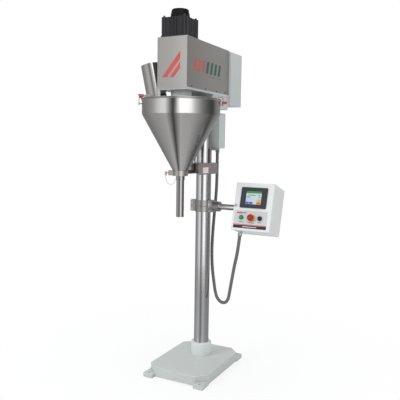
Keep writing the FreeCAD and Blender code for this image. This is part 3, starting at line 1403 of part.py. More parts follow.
for thing in doc.Objects:
    if "Invalid" in thing.State or "Error" in thing.State:
        raise RuntimeError(f"{thing.Name} failed: {thing.State}")
for thing in PIECES:
    if thing.Shape.isNull() or not thing.Shape.isValid() or not thing.Shape.Solids:
        raise RuntimeError(f"{thing.Label} has no valid solid")

os.makedirs("parts", exist_ok=True)
for thing in PIECES:
    thing.Shape.exportStep(f"parts/{thing.Label}.step")
print(len(PIECES), "pieces")
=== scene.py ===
import bmesh
import bpy
import math
from mathutils import Matrix, Vector


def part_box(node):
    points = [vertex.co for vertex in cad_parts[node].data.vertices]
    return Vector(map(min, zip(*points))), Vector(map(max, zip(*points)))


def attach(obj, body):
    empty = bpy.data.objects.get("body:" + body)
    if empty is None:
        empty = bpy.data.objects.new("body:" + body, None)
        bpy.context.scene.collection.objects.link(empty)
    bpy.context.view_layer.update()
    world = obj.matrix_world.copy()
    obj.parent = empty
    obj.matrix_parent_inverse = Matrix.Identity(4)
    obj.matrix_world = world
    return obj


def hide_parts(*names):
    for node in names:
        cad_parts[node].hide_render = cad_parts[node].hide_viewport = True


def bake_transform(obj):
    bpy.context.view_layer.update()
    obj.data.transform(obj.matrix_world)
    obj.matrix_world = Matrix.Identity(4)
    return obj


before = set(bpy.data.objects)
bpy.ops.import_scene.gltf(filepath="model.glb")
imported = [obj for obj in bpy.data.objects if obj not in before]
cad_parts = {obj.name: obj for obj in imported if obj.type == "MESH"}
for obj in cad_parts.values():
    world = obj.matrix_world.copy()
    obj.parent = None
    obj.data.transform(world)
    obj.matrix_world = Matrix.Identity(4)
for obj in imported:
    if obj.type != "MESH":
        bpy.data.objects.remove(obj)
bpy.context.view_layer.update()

# ---------------------------------------------------------------- camera and studio
# The camera stands to the front right of the machine, a little above the nozzle, and looks
# slightly down. The floor and the far background are white; two soft lamps light the object.

CAMERA_PLACE = Vector((1.6843, -3.1916, 1.5068))
CAMERA_YAW = math.radians(27.525)
CAMERA_PITCH = math.radians(5.669)
CAMERA_ROLL = math.radians(0.877)
CAMERA_LENS = 49.07

forward = Vector((-math.sin(CAMERA_YAW) * math.cos(CAMERA_PITCH),
                  math.cos(CAMERA_YAW) * math.cos(CAMERA_PITCH), -math.sin(CAMERA_PITCH)))
level_right = Vector((math.cos(CAMERA_YAW), math.sin(CAMERA_YAW), 0))
level_up = level_right.cross(forward)
right = level_right * math.cos(CAMERA_ROLL) + level_up * math.sin(CAMERA_ROLL)
up = level_up * math.cos(CAMERA_ROLL) - level_right * math.sin(CAMERA_ROLL)

camera = bpy.data.objects.new("camera", bpy.data.cameras.new("camera"))
camera.data.lens = CAMERA_LENS
camera.data.sensor_width = 36
camera.data.clip_end = 100
turned = Matrix((right, up, -forward)).transposed().to_4x4()
camera.matrix_world = Matrix.Translation(CAMERA_PLACE) @ turned
bpy.context.collection.objects.link(camera)
bpy.context.scene.camera = camera
bpy.context.scene.view_settings.view_transform = "Standard"


def lamp(name, place, target, size, watts, colour):
    """Square area lamp that shines from place to target."""
    light = bpy.data.lights.new(name, "AREA")
    light.size = size
    light.energy = watts
    light.color = colour
    thing = bpy.data.objects.new(name, light)
    aim = (Vector(target) - Vector(place)).to_track_quat("-Z", "Y")
    thing.matrix_world = Matrix.Translation(place) @ aim.to_matrix().to_4x4()
    thing.visible_camera = False
    thing.visible_glossy = False
    bpy.context.collection.objects.link(thing)
    return thing


lamp("front_left_lamp", (-2.6, -3.6, 3.4), (0, -0.1, 1.2), 2.4, 95, (1.0, 1.0, 1.0))
lamp("front_right_lamp", (3.2, -2.4, 2.6), (0, 0, 1.0), 2.2, 30, (1.0, 0.98, 0.95))
lamp("top_lamp", (0.2, 0.4, 5.0), (0, 0, 0), 3.0, 75, (1.0, 1.0, 1.0))


def link(tree, start, end):
    tree.links.new(start, end)


def math_node(tree, kind, first, second=None):
    """Math node; each input is a socket or a number."""
    node = tree.nodes.new("ShaderNodeMath")
    node.operation = kind
    for socket, given in zip(node.inputs, (first, second)):
        if given is None:
            continue
        if isinstance(given, (int, float)):
            socket.default_value = given
        else:
            tree.links.new(given, socket)
    return node.outputs[0]


def ramp(tree, fac, stops, smooth=False):
    """Colour ramp; stops are (place, grey or colour)."""
    node = tree.nodes.new("ShaderNodeValToRGB")
    node.color_ramp.interpolation = "EASE" if smooth else "LINEAR"
    elements = node.color_ramp.elements
    while len(elements) < len(stops):
        elements.new(0.5)
    for element, (place, tone) in zip(elements, stops):
        element.position = place
        tone = (tone, tone, tone) if isinstance(tone, (int, float)) else tone
        element.color = (*tone, 1)
    tree.links.new(fac, node.inputs[0])
    return node.outputs[0]


# Metal mirrors the studio: white walls with grey flags between them, round the camera's side.
STUDIO_TONES = [(0.0, 0.5), (0.12, 0.42), (0.25, 0.5), (0.33, 0.95), (0.38, 0.95), (0.42, 0.5),
                (0.455, 0.35), (0.48, 1.5), (0.58, 1.5), (0.61, 0.8), (0.68, 0.4),
                (0.76, 0.25), (0.84, 0.5), (0.92, 0.6), (1.0, 0.5)]

world = bpy.data.worlds.new("studio")
bpy.context.scene.world = world
world.use_nodes = True
tree = world.node_tree
tree.nodes.clear()
coordinates = tree.nodes.new("ShaderNodeTexCoord")


def along(direction):
    node = tree.nodes.new("ShaderNodeVectorMath")
    node.operation = "DOT_PRODUCT"
    tree.links.new(coordinates.outputs["Generated"], node.inputs[0])
    node.inputs[1].default_value = direction
    return node.outputs["Value"]


towards = -Vector((forward.x, forward.y, 0)).normalized()
turn = math_node(tree, "ARCTAN2", along(level_right), along(towards))
share = math_node(tree, "MULTIPLY_ADD", turn, 1 / (2 * math.pi))
share.node.inputs[2].default_value = 0.5
studio = ramp(tree, share, STUDIO_TONES)
lit = tree.nodes.new("ShaderNodeBackground")
lit.inputs[0].default_value = (0.93, 0.96, 1.0, 1)
lit.inputs[1].default_value = 0.62
white = tree.nodes.new("ShaderNodeBackground")
white.inputs[0].default_value = (1, 1, 1, 1)
mirrored = tree.nodes.new("ShaderNodeBackground")
link(tree, studio, mirrored.inputs[0])
path = tree.nodes.new("ShaderNodeLightPath")
seen = tree.nodes.new("ShaderNodeMixShader")
link(tree, math_node(tree, "MAXIMUM", path.outputs["Is Camera Ray"],
                     path.outputs["Is Transmission Ray"]), seen.inputs[0])
link(tree, lit.outputs[0], seen.inputs[1])
link(tree, white.outputs[0], seen.inputs[2])
glossy = tree.nodes.new("ShaderNodeMixShader")
link(tree, path.outputs["Is Glossy Ray"], glossy.inputs[0])
link(tree, seen.outputs[0], glossy.inputs[1])
link(tree, mirrored.outputs[0], glossy.inputs[2])
out = tree.nodes.new("ShaderNodeOutputWorld")
link(tree, glossy.outputs[0], out.inputs[0])

FLOOR_SIZE = 2.5
floor_mesh = bpy.data.meshes.new("floor")
shape = bmesh.new()
bmesh.ops.create_grid(shape, x_segments=1, y_segments=1, size=FLOOR_SIZE)
shape.to_mesh(floor_mesh)
shape.free()
floor = bpy.data.objects.new("floor", floor_mesh)
bpy.context.collection.objects.link(floor)
paint = bpy.data.materials.new("floor_white")
paint.use_nodes = True
tree = paint.node_tree
tree.nodes.clear()
matt = tree.nodes.new("ShaderNodeBsdfDiffuse")
matt.inputs[0].default_value = (0.9, 0.9, 0.9, 1)
glow = tree.nodes.new("ShaderNodeEmission")
glow.inputs[0].default_value = (1, 1, 1, 1)
path = tree.nodes.new("ShaderNodeLightPath")
place = tree.nodes.new("ShaderNodeTexCoord")
reach = tree.nodes.new("ShaderNodeVectorMath")
reach.operation = "LENGTH"
link(tree, place.outputs["Object"], reach.inputs[0])
fade = tree.nodes.new("ShaderNodeMapRange")
fade.inputs["From Min"].default_value = 0.4
fade.inputs["From Max"].default_value = 1.8
fade.inputs["To Min"].default_value = 0.8
fade.inputs["To Max"].default_value = 1.0
link(tree, reach.outputs["Value"], fade.inputs["Value"])
dim = math_node(tree, "MULTIPLY", path.outputs["Is Glossy Ray"], -0.55)
link(tree, math_node(tree, "ADD", dim, 1.0), glow.inputs[1])
seen = math_node(tree, "MAXIMUM", path.outputs["Is Camera Ray"], path.outputs["Is Glossy Ray"])
blended = tree.nodes.new("ShaderNodeMixShader")
link(tree, math_node(tree, "MULTIPLY", seen, fade.outputs[0]), blended.inputs[0])
link(tree, matt.outputs[0], blended.inputs[1])
link(tree, glow.outputs[0], blended.inputs[2])
out = tree.nodes.new("ShaderNodeOutputMaterial")
link(tree, blended.outputs[0], out.inputs[0])
floor_mesh.materials.append(paint)

# ---------------------------------------------------------------- base casting
# A hollow iron casting with cut corners and four ears. It is sprayed with a pale grey-green
# enamel that lies slightly uneven over the cast skin.


def group(name, inputs, outputs):
    """New shader node group; inputs are (name, kind, value) and outputs are (name, kind)."""
    made = bpy.data.node_groups.new(name, "ShaderNodeTree")
    for word, kind, number in inputs:
        socket = made.interface.new_socket(word, in_out="INPUT", socket_type=f"NodeSocket{kind}")
        if number is not None:
            socket.default_value = number
    for word, kind in outputs:
        made.interface.new_socket(word, in_out="OUTPUT", socket_type=f"NodeSocket{kind}")
    entry = made.nodes.new("NodeGroupInput")
    leave = made.nodes.new("NodeGroupOutput")
    return made, entry.outputs, leave.inputs


def noise(tree, vector, scale, detail=3, roughness=0.5):
    node = tree.nodes.new("ShaderNodeTexNoise")
    node.inputs["Detail"].default_value = detail
    node.inputs["Roughness"].default_value = roughness
    if isinstance(scale, (int, float)):
        node.inputs["Scale"].default_value = scale
    else:
        tree.links.new(scale, node.inputs["Scale"])
    tree.links.new(vector, node.inputs["Vector"])
    return node.outputs["Fac"]


def mix(tree, fac, first, second, kind="MIX"):
    """Colour mix; each input is a socket, a colour or a number."""
    node = tree.nodes.new("ShaderNodeMix")
    node.data_type = "RGBA"
    node.blend_type = kind
    for socket, given in ((node.inputs[0], fac), (node.inputs[6], first), (node.inputs[7], second)):
        if isinstance(given, (int, float)):
            socket.default_value = given
        elif isinstance(given, tuple):
            socket.default_value = (*given, 1)
        else:
            tree.links.new(given, socket)
    return node.outputs[2]


def map_range(tree, fac, low, high, start=0.0, end=1.0):
    node = tree.nodes.new("ShaderNodeMapRange")
    for word, given in (("Value", fac), ("From Min", start), ("From Max", end),
                        ("To Min", low), ("To Max", high)):
        if isinstance(given, (int, float)):
            node.inputs[word].default_value = given
        else:
            tree.links.new(given, node.inputs[word])
    return node.outputs[0]


# Paint: slow change of tone, fine orange peel, and a little dust that settles low down.
paint_skin, given, made = group(
    "paint_skin",
    [("Vector", "Vector", None), ("Colour", "Color", (0.5, 0.5, 0.5, 1)), ("Tone", "Float", 0.06),
     ("Peel", "Float", 120.0), ("Dust", "Float", 0.0), ("Shine", "Float", 0.35)],
    [("Colour", "Color"), ("Roughness", "Float"), ("Height", "Float")])
slow = noise(paint_skin, given["Vector"], 3.5, 4)
fine = noise(paint_skin, given["Vector"], given["Peel"], 2)
specks = noise(paint_skin, given["Vector"], 60, 6, 0.7)
darker = mix(paint_skin, 1.0, given["Colour"], (0.75, 0.75, 0.73), "MULTIPLY")
toned = mix(paint_skin, math_node(paint_skin, "MULTIPLY", slow, given["Tone"]),
            given["Colour"], darker)
split = paint_skin.nodes.new("ShaderNodeSeparateXYZ")
link(paint_skin, given["Vector"], split.inputs[0])
floor_near = map_range(paint_skin, split.outputs["Z"], 1.0, 0.0, 0.0, 0.09)
settled = math_node(paint_skin, "MULTIPLY", math_node(
    paint_skin, "MULTIPLY", floor_near, map_range(paint_skin, specks, 0, 1, 0.45, 0.7)),
    given["Dust"])
link(paint_skin, mix(paint_skin, settled, toned, (0.34, 0.33, 0.3)), made["Colour"])
link(paint_skin, math_node(paint_skin, "ADD", given["Shine"],
                           map_range(paint_skin, slow, -0.05, 0.09)), made["Roughness"])
link(paint_skin, fine, made["Height"])


def material(name, metallic=0.0, roughness=0.4, colour=(0.5, 0.5, 0.5), coat=0.0):
    """New material: its tree, its Principled shader and the socket of Object coordinates."""
    made = bpy.data.materials.new(name)
    made.use_nodes = True
    tree = made.node_tree
    shader = tree.nodes["Principled BSDF"]
    shader.inputs["Base Color"].default_value = (*colour, 1)
    shader.inputs["Metallic"].default_value = metallic
    shader.inputs["Roughness"].default_value = roughness
    shader.inputs["Coat Weight"].default_value = coat
    where = tree.nodes.new("ShaderNodeTexCoord")
    return made, tree, shader, where.outputs["Object"]


def bumped(tree, shader, height, strength, distance):
    node = tree.nodes.new("ShaderNodeBump")
    node.inputs["Strength"].default_value = strength
    node.inputs["Distance"].default_value = distance
    tree.links.new(height, node.inputs["Height"])
    tree.links.new(node.outputs[0], shader.inputs["Normal"])


def painted(name, colour, shine=0.35, peel=120.0, tone=0.3, dust=0.0, strength=0.12):
    made, tree, shader, where = material(name, 0, shine, colour)
    skin = tree.nodes.new("ShaderNodeGroup")
    skin.node_tree = paint_skin
    skin.inputs["Colour"].default_value = (*colour, 1)
    skin.inputs["Tone"].default_value = tone
    skin.inputs["Peel"].default_value = peel
    skin.inputs["Dust"].default_value = dust
    skin.inputs["Shine"].default_value = shine
    link(tree, where, skin.inputs["Vector"])
    link(tree, skin.outputs["Colour"], shader.inputs["Base Color"])
    link(tree, skin.outputs["Roughness"], shader.inputs["Roughness"])
    bumped(tree, shader, skin.outputs["Height"], strength, 0.0006)
    return made


def wear(node, finish):
    """Gives a CAD node its finish."""
    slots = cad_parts[node].data.materials
    slots.clear()
    slots.append(finish)


def placed(bm, name, finish, body, nodes=(), crease=35):
    """Turns a bmesh into a finished piece that rides on a body and stands for CAD nodes."""
    bmesh.ops.recalc_face_normals(bm, faces=bm.faces)
    mesh = bpy.data.meshes.new(name)
    bm.to_mesh(mesh)
    bm.free()
    mesh.materials.append(finish)
    mesh.shade_smooth()
    mesh.set_sharp_from_angle(angle=math.radians(crease))
    thing = bpy.data.objects.new(name, mesh)
    bpy.context.collection.objects.link(thing)
    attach(thing, body)
    if nodes:
        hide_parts(*nodes)
    return thing


def eased(node, name, finish, body, radius, segments=3, pick=None):
    """Copy of a CAD node with the edges that pick takes rounded."""
    bm = bmesh.new()
    bm.from_mesh(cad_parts[node].data)
    bmesh.ops.transform(bm, matrix=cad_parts[node].matrix_world, verts=bm.verts)
    bmesh.ops.remove_doubles(bm, verts=bm.verts, dist=1e-5)
    bmesh.ops.dissolve_limit(bm, angle_limit=math.radians(0.5), use_dissolve_boundaries=False,
                             verts=bm.verts, edges=bm.edges)
    chosen = [edge for edge in bm.edges
              if len(edge.link_faces) == 2 and edge.calc_face_angle(0) > math.radians(40)
              and edge.calc_length() > 3 * radius and (pick is None or pick(edge))]
    bmesh.ops.bevel(bm, geom=chosen, offset=radius, offset_type="OFFSET", segments=segments,
                    profile=0.5, affect="EDGES", clamp_overlap=True, material=-1)
    thing = placed(bm, name, finish, body, [node])
    for face in thing.data.polygons:
        face.use_smooth = face.area < 0.0015
    return thing


CAST_GREY = (0.575, 0.605, 0.585)
cast_paint = painted("cast_paint", CAST_GREY, 0.2, 60.0, 0.15, 0.25, 0.1)
eased("base", "base_casting", cast_paint, "stand", 0.003)

# ---------------------------------------------------------------- column
# A 4 inch stainless tube, ground and polished round its length, in a painted socket that is
# welded to the base.

around, given, made = group(
    "around", [("Vector", "Vector", None)], [("Share", "Float")])
split = around.nodes.new("ShaderNodeSeparateXYZ")
link(around, given["Vector"], split.inputs[0])
turn = math_node(around, "ARCTAN2", split.outputs["Y"], split.outputs["X"])
share = math_node(around, "MULTIPLY_ADD", turn, 1 / (2 * math.pi))
share.node.inputs[2].default_value = 0.5
link(around, share, made["Share"])

# Ground metal: fine lines along one direction, given by how far each axis is stretched.
ground, given, made = group(
    "ground_metal",
    [("Vector", "Vector", None), ("Stretch", "Vector", (1, 1, 1)), ("Colour", "Color", None),
     ("Lines", "Float", 0.1), ("Shine", "Float", 0.25), ("Smear", "Float", 0.08)],
    [("Colour", "Color"), ("Roughness", "Float"), ("Height", "Float")])
pulled = ground.nodes.new("ShaderNodeVectorMath")
pulled.operation = "MULTIPLY"
link(ground, given["Vector"], pulled.inputs[0])
link(ground, given["Stretch"], pulled.inputs[1])
lines = noise(ground, pulled.outputs[0], 1.0, 5, 0.65)
clouds = noise(ground, given["Vector"], 6, 3)
dark = mix(ground, 1.0, given["Colour"], (0.55, 0.55, 0.55), "MULTIPLY")
bright = mix(ground, 1.0, given["Colour"], (0.35, 0.35, 0.35), "ADD")
edge = math_node(ground, "SUBTRACT", lines, 0.5)
shaded = mix(ground, math_node(ground, "MULTIPLY", math_node(ground, "ABSOLUTE", edge),
                               given["Lines"]), given["Colour"], dark)
link(ground, mix(ground, math_node(ground, "MULTIPLY", clouds, given["Smear"]), shaded, bright),
     made["Colour"])
link(ground, math_node(ground, "ADD", given["Shine"], math_node(
    ground, "MULTIPLY", math_node(ground, "ADD", edge, math_node(ground, "SUBTRACT", clouds, 0.5)),
    0.25)), made["Roughness"])
link(ground, lines, made["Height"])


def steel(name, colour, shine, stretch, lines=0.6, smear=0.1, strength=0.08, painted_reflection_bands=None,
          centre=(0, 0, 0), turned=(0, 0, 0)):
    """Ground stainless steel. The optional bands are painted reflections: light and dark tones laid
    into the base colour round an axis through centre.
    """
    made, tree, shader, where = material(name, 1, shine, colour)
    metal = tree.nodes.new("ShaderNodeGroup")
    metal.node_tree = ground
    metal.inputs["Stretch"].default_value = stretch
    metal.inputs["Colour"].default_value = (*colour, 1)
    metal.inputs["Lines"].default_value = lines
    metal.inputs["Shine"].default_value = shine
    metal.inputs["Smear"].default_value = smear
    moved = tree.nodes.new("ShaderNodeMapping")
    moved.vector_type = "TEXTURE"
    moved.inputs["Location"].default_value = centre
    moved.inputs["Rotation"].default_value = turned
    link(tree, where, moved.inputs["Vector"])
    link(tree, moved.outputs[0], metal.inputs["Vector"])
    if painted_reflection_bands:
        circle = tree.nodes.new("ShaderNodeGroup")
        circle.node_tree = around
        link(tree, moved.outputs[0], circle.inputs["Vector"])
        painted_reflection_tones = ramp(tree, circle.outputs["Share"], painted_reflection_bands)
        link(tree, mix(tree, 1.0, painted_reflection_tones, colour, "MULTIPLY"), metal.inputs["Colour"])
    link(tree, metal.outputs["Colour"], shader.inputs["Base Color"])
    link(tree, metal.outputs["Roughness"], shader.inputs["Roughness"])
    bumped(tree, shader, metal.outputs["Height"], strength, 0.0003)
    return made


def turned_piece(profile, centre=(0, 0), steps=96):
    """Closed outline of (radius, height) points, spun round a vertical axis at centre."""
    bm = bmesh.new()
    corners = [bm.verts.new((centre[0] + r, centre[1], z)) for r, z in profile]
    edges = [bm.edges.new((a, b)) for a, b in zip(corners, corners[1:] + corners[:1])
             if not (abs(a.co.x - centre[0]) < 1e-9 and abs(b.co.x - centre[0]) < 1e-9)]
    bmesh.ops.spin(bm, geom=corners + edges, cent=(*centre, 0), axis=(0, 0, 1),
                   angle=2 * math.pi, steps=steps, use_merge=True, use_duplicate=False)
    bmesh.ops.remove_doubles(bm, verts=bm.verts, dist=1e-6)
    return bm


def round_corner(before, corner, after, radius, steps=5):
    """Points of a rounded corner of an outline, between the runs to before and to after."""
    a, b, c = Vector(before), Vector(corner), Vector(after)
    u, v = (a - b).normalized(), (c - b).normalized()
    half = u.angle(v) / 2
    reach = radius / math.tan(half)
    hub = b + (u + v).normalized() * radius / math.sin(half)
    first, last = b + u * reach - hub, b + v * reach - hub
    points = []
    for i in range(steps + 1):
        points.append(tuple(
            hub + (first * (1 - i / steps) + last * i / steps).normalized() * radius))
    return points


COLUMN_Y = 0.09
COLUMN_RADIUS = 0.0508
# Painted reflections: light and dark bands laid into the column's base colour round its axis.
COLUMN_PAINTED_REFLECTIONS = [(0.0, 0.6), (0.14, 0.5), (0.26, 0.9), (0.3, 0.3), (0.35, 0.9), (0.4, 0.6),
                (0.46, 0.5), (0.7, 0.5), (1.0, 0.6)]
polished = steel("polished_column", (0.8, 0.8, 0.815), 0.18, (30, 30, 600), 0.08, 0.02, 0.004,
                 COLUMN_PAINTED_REFLECTIONS, (0, COLUMN_Y, 0))
wall_in = COLUMN_RADIUS - 0.0032
foot, head = 0.069, 1.839
placed(turned_piece([(COLUMN_RADIUS, foot), (COLUMN_RADIUS, head), (wall_in, head),
                     (wall_in, foot)], (0, COLUMN_Y)),
       "column", polished, "stand", ["column_tube"])

SOCKET_RADIUS = 0.07
socket_top = 0.157
bore = COLUMN_RADIUS + 0.0001
outline = [(bore, foot), (SOCKET_RADIUS, foot)]
outline += round_corner((SOCKET_RADIUS, foot), (SOCKET_RADIUS, socket_top), (bore, socket_top),
                        0.005)
outline += [(bore, socket_top)]
# Painted light: the socket has the base's enamel, but its colour is set much lighter than the
# base's, as if it caught more of the lamps.
socket_paint_painted_light = painted("socket_paint_painted_light", (0.74, 0.77, 0.75), 0.2, 60.0, 0.1, 0.0, 0.08)
placed(turned_piece(outline, (0, COLUMN_Y)), "socket", socket_paint_painted_light, "stand",
       ["column_socket"])

# ---------------------------------------------------------------- head casting
# One casting carries the motor and the cover: a plate, a housing clamped on the column's top,
# and the pedestal inside. It has the same enamel as the base.

clean_paint = painted("clean_cast_paint", (0.55, 0.59, 0.575), 0.25, 90.0, 0.2, 0.0, 0.2)
eased("head_frame", "head_casting", clean_paint, "stand", 0.0015)

# ---------------------------------------------------------------- cover of the head
# Folded from 1.5 mm stainless sheet with a brushed finish that runs level round the machine.
# Its front corners are bent, and its lower edge sits on the head casting.


def soft_box(lowest, highest, radius, segments=4, keep=None):
    """Box with rounded edges; keep(edge) picks the edges that are rounded."""
    bm = bmesh.new()
    bmesh.ops.create_cube(bm, size=1)
    lowest, highest = Vector(lowest), Vector(highest)
    span = highest - lowest
    bmesh.ops.scale(bm, vec=span, verts=bm.verts)
    bmesh.ops.translate(bm, vec=(lowest + highest) / 2, verts=bm.verts)
    chosen = [edge for edge in bm.edges if keep is None or keep(edge)]
    bmesh.ops.bevel(bm, geom=chosen, offset=radius, offset_type="OFFSET", segments=segments,
                    profile=0.5, affect="EDGES", material=-1)
    return bm


COVER_LOW, COVER_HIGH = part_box("head_cover")
brushed_cover = steel("brushed_cover", (0.44, 0.43, 0.41), 0.36, (8, 8, 900), 0.9, 0.1, 0.1)
SHEET = 0.0015
# Painted highlight: the sheet's colour is lighter towards its right edge and brightest just short
# of it, where the bent corner would catch the light.
tree = brushed_cover.node_tree
where = tree.nodes.new("ShaderNodeTexCoord")
split = tree.nodes.new("ShaderNodeSeparateXYZ")
link(tree, where.outputs["Object"], split.inputs[0])
painted_highlight = ramp(tree, map_range(tree, split.outputs["X"], 0.0, 1.0, COVER_LOW.x, COVER_HIGH.x),
             [(0.0, 0.9), (0.5, 0.9), (0.97, 1.1), (1.0, 0.9)])
metal = next(node for node in tree.nodes if node.type == "GROUP")
link(tree, mix(tree, 1.0, painted_highlight, (0.5, 0.49, 0.465), "MULTIPLY"), metal.inputs["Colour"])
bm = soft_box(COVER_LOW, COVER_HIGH, 0.0022, 4, lambda edge: not (
    edge.verts[0].co.z < COVER_LOW.z + 1e-6 and edge.verts[1].co.z < COVER_LOW.z + 1e-6))
under = [face for face in bm.faces if face.calc_center_median().z < COVER_LOW.z + 1e-6]
bmesh.ops.delete(bm, geom=under, context="FACES")
bmesh.ops.solidify(bm, geom=bm.faces, thickness=SHEET)
placed(bm, "cover", brushed_cover, "stand", ["head_cover"])

# ---------------------------------------------------------------- printed marks on the cover
# Plain marks of thin film, red on the front and red and dark green on the sides.

FILM = 0.00015


def laid_on(name, outlines, normal, finish, body, matrix=None):
    """Film cut to flat outlines of points and laid on a face, raised along its normal."""
    bm = bmesh.new()
    for outline in outlines:
        face = bm.faces.new([bm.verts.new(point) for point in outline])
        made = bmesh.ops.extrude_face_region(bm, geom=[face])
        raised = [part for part in made["geom"] if isinstance(part, bmesh.types.BMVert)]
        bmesh.ops.translate(bm, vec=Vector(normal) * FILM, verts=raised)
    if matrix:
        bmesh.ops.transform(bm, matrix=matrix, verts=bm.verts)
    return placed(bm, name, finish, body)


def bar(a, b, low_edge, high_edge):
    """Corners of an upright rectangle, as (along, up) pairs."""
    return [(a, low_edge), (b, low_edge), (b, high_edge), (a, high_edge)]


def printed(name, colour, tone=0.75):
    """Printed film: even colour with a faint wear and a soft shine."""
    made, tree, shader, where = material(name, 0, 0.35, colour)
    cloud = noise(tree, where, 40, 4)
    link(tree, mix(tree, map_range(tree, cloud, 0.0, 0.3), colour,
                   tuple(tone * c for c in colour)), shader.inputs["Base Color"])
    link(tree, map_range(tree, cloud, 0.3, 0.42), shader.inputs["Roughness"])
    return made


red_print = printed("red_print", (0.56, 0.09, 0.085))
green_print = printed("green_print", (0.035, 0.1, 0.07))
grey_print = printed("grey_print", (0.12, 0.12, 0.12))
laid_on("cover_lip", [[(x, COVER_LOW.y, z) for x, z in bar(-0.1015, 0.1015, 1.842, 1.8545)]],
        (0, -1, 0), brushed_cover, "stand")
front_mark = [[(-0.07, 1.912), (-0.034, 1.912), (0.057, 2.018), (0.057, 2.064)],
              [(-0.016, 1.912), (0.014, 1.912), (0.057, 1.962), (0.057, 2.0)]]
laid_on("front_mark", [[(x, COVER_LOW.y, z) for x, z in loop] for loop in front_mark],
        (0, -1, 0), red_print, "stand")
slanted = [[(y, 1.958), (y + 0.03, 1.958), (y + 0.05, 2.033), (y + 0.02, 2.033)]
           for y in [-0.272 + 0.056 * step for step in range(7)]]
side_red, side_green = slanted[:3], slanted[3:]
for side, face in (("right", COVER_HIGH.x), ("left", COVER_LOW.x)):
    outward = (1 if side == "right" else -1, 0, 0)
    for word, loops, finish, slot in (
            ("red", side_red, red_print, "red_vinyl"),
            ("green", side_green, green_print, "black_motor"),
            ("line", [bar(-0.076, 0.122, 1.9425, 1.945)], grey_print, "black_motor")):
        laid_on(f"{side}_mark_{word}", [[(face, y, z) for y, z in loop] for loop in loops],
                outward, finish, "stand")

# ---------------------------------------------------------------- rear enclosure
# Painted sheet box on the back of the head, closed from behind by a folded lid.

sheet_paint = painted("sheet_paint", (0.57, 0.605, 0.59), 0.33, 260.0, 0.15, 0.0, 0.08)
low_corner, high_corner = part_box("rear_enclosure")
high_corner.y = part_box("rear_lid")[1].y - SHEET
placed(soft_box(low_corner, high_corner, 0.0025), "rear_box", sheet_paint, "stand",
       ["rear_enclosure"])
eased("rear_lid", "rear_cover", sheet_paint, "stand", 0.002)

# ---------------------------------------------------------------- motor
# Black servo motor: a square flange, a finned body with a lobe at each corner for its tie
# bolts, and a turned end cap. Cast aluminium, sprayed satin black.

black_paint = painted("black_paint", (0.007, 0.007, 0.009), 0.27, 200.0, 0.3, 0.0, 0.06)
eased("motor_body", "motor_case", black_paint, "stand", 0.0012, 2)
# Painted shade: the end cap wears a darker copy of the motor's black paint, to hold down the top
# lamp's light on it; its specular level is lowered as well.
cap_paint_painted_shade = painted("cap_paint_painted_shade", (0.003, 0.003, 0.004), 0.45, 200.0, 0.3, 0.0, 0.1)
next(node for node in cap_paint_painted_shade.node_tree.nodes if node.type == "BSDF_PRINCIPLED"
     ).inputs["Specular IOR Level"].default_value = 0.2
eased("motor_cap", "motor_end_cap", cap_paint_painted_shade, "stand", 0.001, 2)
zinc = steel("bright_bolts", (0.62, 0.62, 0.62), 0.3, (60, 60, 60), 0.4, 0.1, 0.1)
screw_black = steel("black_bolts", (0.09, 0.09, 0.09), 0.35, (60, 60, 60), 0.4, 0.1, 0.1)
wear("motor_bolts", screw_black)
wear("cover_screws", screw_black)

# ---------------------------------------------------------------- drive inside the head
# Spindle, coupling, bearings and the belt drive of the agitator.

machined = steel("machined_steel", (0.5, 0.5, 0.5), 0.3, (200, 200, 200), 0.5, 0.1, 0.1)
for node in ("drive_spindle", "shaft_coupling", "motor_shaft", "agitator_sleeve",
             "agitator_pulley", "spindle_bearings"):
    wear(node, machined)
grey_paint = painted("drive_grey", (0.09, 0.1, 0.115), 0.4)
wear("agitator_gearmotor", grey_paint)
wear("bearing_housing", clean_paint)


def moulded(name, colour, shine=0.45, grain=400.0, strength=0.1, coat=0.0):
    """Rubber or plastic with a fine moulded grain and slightly uneven shine."""
    made, tree, shader, where = material(name, 0, shine, colour, coat)
    fine = noise(tree, where, grain, 3)
    slow = noise(tree, where, 14, 3)
    link(tree, mix(tree, map_range(tree, slow, 0.0, 0.25), colour,
                   tuple(0.6 * c for c in colour)), shader.inputs["Base Color"])
    link(tree, map_range(tree, slow, shine - 0.06, shine + 0.08), shader.inputs["Roughness"])
    bumped(tree, shader, fine, strength, 0.0003)
    return made


wear("agitator_belt", moulded("belt_rubber", (0.025, 0.025, 0.025), 0.7))

# ---------------------------------------------------------------- hopper
# Spun from 2 mm stainless: a short cylinder with a rolled rim, a long cone, and the neck that
# stands in the yoke. It is ground round its axis, and painted reflections lie on it in upright
# bands.

SPINDLE_Y = -0.23
centre = (0, SPINDLE_Y)
HOPPER_PAINTED_REFLECTIONS = [(0.0, 0.4), (0.12, 0.3), (0.2, 0.7), (0.27, 1.0), (0.3, 0.1), (0.33, 1.0),
                (0.38, 0.9), (0.47, 0.15), (0.5, 0.4), (0.56, 0.2), (0.75, 0.7), (1.0, 0.4)]
satin = steel("hopper_steel", (0.72, 0.71, 0.7), 0.22, (12, 12, 500), 0.2, 0.03, 0.015,
              HOPPER_PAINTED_REFLECTIONS, (0, SPINDLE_Y, 0))
RIM_RADIUS, RIM_Z, WALL = 0.2415, 1.782, 0.002
CONE_TOP, CONE_LOW, CONE_LOW_RADIUS = 1.695, 1.353, 0.049
NECK_RADIUS, NECK_LOW = 0.038, 1.322


def bend(points, radii):
    """Rounds the corners of an open outline; a radius of 0 leaves the corner sharp."""
    line = [points[0]]
    for before, corner, after, radius in zip(points, points[1:], points[2:], radii):
        line += round_corner(before, corner, after, radius, 6) if radius else [corner]
    return line + [points[-1]]


